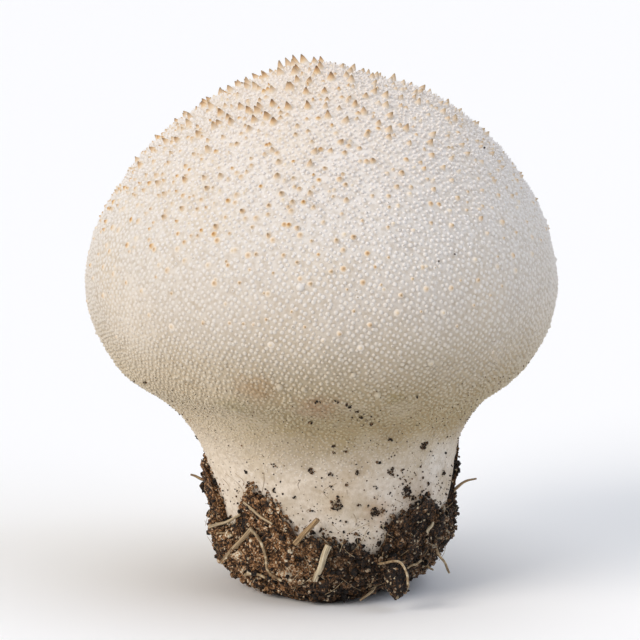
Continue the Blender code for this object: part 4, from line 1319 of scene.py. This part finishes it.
# Crumbs on the white stem and specks on the head: azimuth in degrees, height and size in mm
STEM_CRUMBS = (
    (43.4, 17.15, 0.94), (25.5, 18.36, 0.42), (2.4, 17.86, 0.42), (2.6, 17.26, 0.42),
    (7.1, 17.35, 0.36), (21.6, 15.75, 0.36), (0.4, 14.73, 0.47), (12, 14.66, 0.42),
    (28.2, 14.59, 0.83), (34, 14.54, 0.47), (37.4, 12.13, 1.15), (42.3, 11.32, 0.52),
    (51.1, 12.52, 0.47), (65.4, 13, 0.62), (2.2, 11.32, 1.15), (21.2, 10.35, 0.94),
    (31.3, 9.47, 0.42), (26.6, 8.71, 0.83), (-4.5, 8.57, 0.42), (13.1, 11.24, 0.36),
    (43.8, 14.77, 0.31), (21, 12.98, 0.31), (7.3, 13.6, 0.31), (0, 13.29, 0.31),
    (-24.9, 15.45, 0.42), (-7.9, 15.03, 0.62), (-41.6, 14.18, 0.36), (-40.9, 12.68, 0.73),
    (-40, 11.29, 1.25), (-30.9, 11.99, 0.52), (-27.4, 12.52, 0.42), (-25.4, 11.03, 0.52),
    (-17.5, 12.06, 0.42), (-9.1, 10.63, 0.36), (31.5, 14.1, 0.26), (33, 13.7, 0.28),
    (35, 13.9, 0.24), (36.5, 13.4, 0.3), (34.5, 13.1, 0.26), (38, 12.9, 0.3), (36, 12.6, 0.3),
    (32.5, 12.8, 0.2), (39.5, 13.5, 0.24), (62, 15.5, 0.3), (58, 17.5, 0.26), (49, 16.2, 0.22),
)
OCHRE_CRUMBS = (
    (24.9, 10.39, 0.5), (29.5, 10.83, 0.36), (12.2, 8.08, 0.4), (21.1, 7.51, 0.3),
    (-38.1, 17.35, 0.42),
)
HEAD_SPECKS = (
    (26.3, 37.23, 0.3), (28.8, 37.93, 0.28), (33.7, 38.44, 0.28), (57.6, 36.55, 0.34),
    (70.2, 47.2, 0.28), (-58.4, 43.22, 0.3), (-0.9, 33.46, 0.32), (7.7, 23.29, 0.44),
    (9.7, 22.58, 0.36), (11.8, 21.83, 0.4), (13.9, 21.2, 0.34), (16, 20.74, 0.3),
    (6.5, 23.69, 0.32), (12.1, 22.26, 0.3), (-4.3, 21.2, 0.46), (3.9, 24.1, 0.34),
    (-1.4, 24.4, 0.3), (8.9, 21.9, 0.26), (14.8, 21.9, 0.26), (12.9, 20.6, 0.3),
)


class PUFFBALL_OT_dirt(bpy.types.Operator):
    """Strew crumbs of soil on the stem and specks on the head"""

    bl_idname = "puffball.dirt"
    bl_label = "Strew crumbs and specks"

    def execute(self, context):
        body = the_body()
        dice = np.random.default_rng(53)
        grains = [*self.crumbs(body, dice), *self.dust(body, dice), *self.fine_crumbs(body, dice)]
        places, sizes, tones = (np.array(column) for column in zip(*grains))
        material = bpy.data.materials["garden soil, moist crumb"]
        tones = np.minimum(tones, 0.9)
        strew("soil_specks", places, sizes, tones, dice, material, [], uneven=0.25, spans=(0.7, 1.15))
        return {"FINISHED"}

    def crumbs(self, body, dice):
        """Grains of the larger crumbs, each as place, size and tone. Small specks are one grain."""
        crumbs = [(*row[:2], 1.18 * row[2], 0.26) for row in (*STEM_CRUMBS, *HEAD_SPECKS)]
        crumbs += [(*row, 0.76) for row in OCHRE_CRUMBS]
        # The sides and back that the photograph doesn't show are as dirty as the front
        for _ in range(90):
            size = float(np.clip(dice.lognormal(-1.0, 0.45), 0.2, 1.1))
            turn, height = dice.uniform(75, 290), 8.5 + dice.exponential(3.6)
            crumbs.append((turn, height, size, 0.7 if dice.random() < 0.1 else 0.16))
        for azimuth, height, size, tone in crumbs:
            heaped = size > 0.35
            along = float(body.along_at(min(height, 24.0 if heaped else 50.0)))
            reach = float(body.read(along, body.radius))
            for _ in range(max(1, round(34 * size**2)) if heaped else 1):
                out = size * 0.48 * math.sqrt(dice.random()) if heaped else 0.0
                way = dice.uniform(0, 2 * math.pi)
                down = along + out * math.cos(way)
                turn = math.radians(azimuth) + out * math.sin(way) / reach
                grain = float(np.clip(dice.lognormal(-1.8, 0.4), 0.08, 0.36)) if heaped else size * 0.75
                lift = 0.3 * grain + 0.16 * max(size * 0.4 - out, 0) + (0.1 if height > 19 else 0)
                place = body.points(np.array([down]), np.array([turn]), lift)[0]
                yield place, grain, tone + dice.normal(0.04, 0.2)

    def dust(self, body, dice):
        """Dust that clings among the pearls of the neck."""
        for _ in range(760):
            height, azimuth = dice.uniform(17.5, 25.5), dice.uniform(-180, 180)
            size = dice.uniform(0.06, 0.16)
            tone = 0.6 if dice.random() < 0.35 else dice.uniform(0.05, 0.4)
            yield on_skin(body, azimuth, height, 0.1 + 0.5 * size), size, tone

    def fine_crumbs(self, body, dice):
        """Finer crumbs all round the stem, most of them near the soil."""
        for _ in range(1500):
            height = 6.0 + dice.exponential(3.6)
            if height > 18:
                continue
            size = float(np.clip(dice.lognormal(-2.0, 0.42), 0.08, 0.36))
            anywhere = dice.random() < 0.75
            azimuth = dice.uniform(-180, 180) if anywhere else math.degrees(dice.normal(0.7, 0.3))
            tone = 0.62 if dice.random() < 0.15 else dice.uniform(0.05, 0.35)
            yield on_skin(body, azimuth, height, 0.1 * size), size, tone


# ---------------------------------------------------------------- stage

# Large soft lights: name, direction, degrees they span, strength, colour
LIGHTS = (
    ("key", (-0.67, -0.53, 0.46), 34, 1.99, "#FFF7EE"),
    ("fill", (0.72, -0.36, 0.7), 50, 0.84, "#E0EAFF"),
    ("top", (0.1, 0.1, 0.95), 60, 0.88, "#FAFCFF"),
)
AROUND = {"Color": linear("#F2F4F8"), "Strength": 0.4}
TARGET = (-1.16, 0, 28.35)  # millimetres
PIXELS_PER_MM = 9.5  # of the photograph, which is 640 pixels wide
PHOTO_WIDTH = 640
SENSOR = 36.0  # millimetres


class PUFFBALL_OT_stage(bpy.types.Operator):
    """Set the pale floor, the soft lights and the camera"""

    bl_idname = "puffball.stage"
    bl_label = "Set the stage"

    def execute(self, context):
        studio = context.scene.puffball_studio
        scene = context.scene
        # Pale matte paper board
        finish = {"Base_Color": (*studio.floor, 1.0), "Roughness": 0.9, "Specular_IOR_Level": 0.1}
        mesh = bpy.data.meshes.new("floor")
        mesh.from_pydata([(-4, -4, 0), (4, -4, 0), (4, 4, 0), (-4, 4, 0)], [], [(0, 1, 2, 3)])
        mesh.materials.append(new_material("paper board, pale and matte", **finish)[0])
        floor = bpy.data.objects.new("floor", mesh)
        scene.collection.objects.link(floor)

        scene.world = bpy.data.worlds.new("studio")
        scene.world.use_nodes = True
        fill(scene.world.node_tree, scene.world.node_tree.nodes["Background"], AROUND)
        for name, direction, span, strength, colour in LIGHTS:
            data = bpy.data.lights.new(name, "SUN")
            data.angle = math.radians(span)
            data.energy = strength
            data.color = linear(colour)[:3]
            lamp = bpy.data.objects.new(name, data)
            lamp.location = direction
            lamp.rotation_euler = Vector(direction).to_track_quat("Z", "Y").to_euler()
            scene.collection.objects.link(lamp)

        camera = bpy.data.cameras.new("camera")
        camera.sensor_width = SENSOR
        camera.lens = PIXELS_PER_MM * studio.distance / MM / PHOTO_WIDTH * SENSOR
        camera.clip_start = 0.01
        holder = bpy.data.objects.new("camera", camera)
        tilt = studio.elevation
        away = Vector((0, -math.cos(tilt), math.sin(tilt))) * studio.distance
        holder.location = Vector(TARGET) * MM + away
        holder.rotation_euler = (math.pi / 2 - tilt, 0, 0)
        scene.collection.objects.link(holder)
        scene.camera = holder
        scene.view_settings.view_transform = "Standard"
        return {"FINISHED"}


class PUFFBALL_PT_panel(bpy.types.Panel):
    """Lists the steps and their settings"""

    bl_idname = "PUFFBALL_PT_panel"
    bl_label = "Puffball"
    bl_space_type = "VIEW_3D"
    bl_region_type = "UI"
    bl_category = "Puffball"

    def draw(self, context):
        for group, names in (
            ("puffball_skin", ("skin",)),
            ("puffball_coat", ("coat",)),
            ("puffball_soil", ("soil", "litter", "dirt")),
            ("puffball_studio", ("stage",)),
        ):
            box = self.layout.box()
            settings = getattr(context.scene, group)
            for key in settings.__annotations__:
                box.prop(settings, key)
            for name in names:
                box.operator("puffball." + name)


GROUPS = {
    "puffball_skin": PuffballSkin,
    "puffball_coat": PuffballCoat,
    "puffball_soil": PuffballSoil,
    "puffball_studio": PuffballStudio,
}
CLASSES = (
    PUFFBALL_OT_skin,
    PUFFBALL_OT_coat,
    PUFFBALL_OT_soil,
    PUFFBALL_OT_litter,
    PUFFBALL_OT_dirt,
    PUFFBALL_OT_stage,
    PUFFBALL_PT_panel,
)


def register():
    for made in (*GROUPS.values(), *CLASSES):
        bpy.utils.register_class(made)
    for name, group in GROUPS.items():
        setattr(bpy.types.Scene, name, bpy.props.PointerProperty(type=group))


def unregister():
    for name in GROUPS:
        delattr(bpy.types.Scene, name)
    for made in reversed((*GROUPS.values(), *CLASSES)):
        bpy.utils.unregister_class(made)


def main():
    register()
    bpy.ops.puffball.skin()
    bpy.ops.puffball.coat()
    bpy.ops.puffball.soil()
    bpy.ops.puffball.litter()
    bpy.ops.puffball.dirt()
    bpy.ops.puffball.stage()


if __name__ == "__main__":
    main()
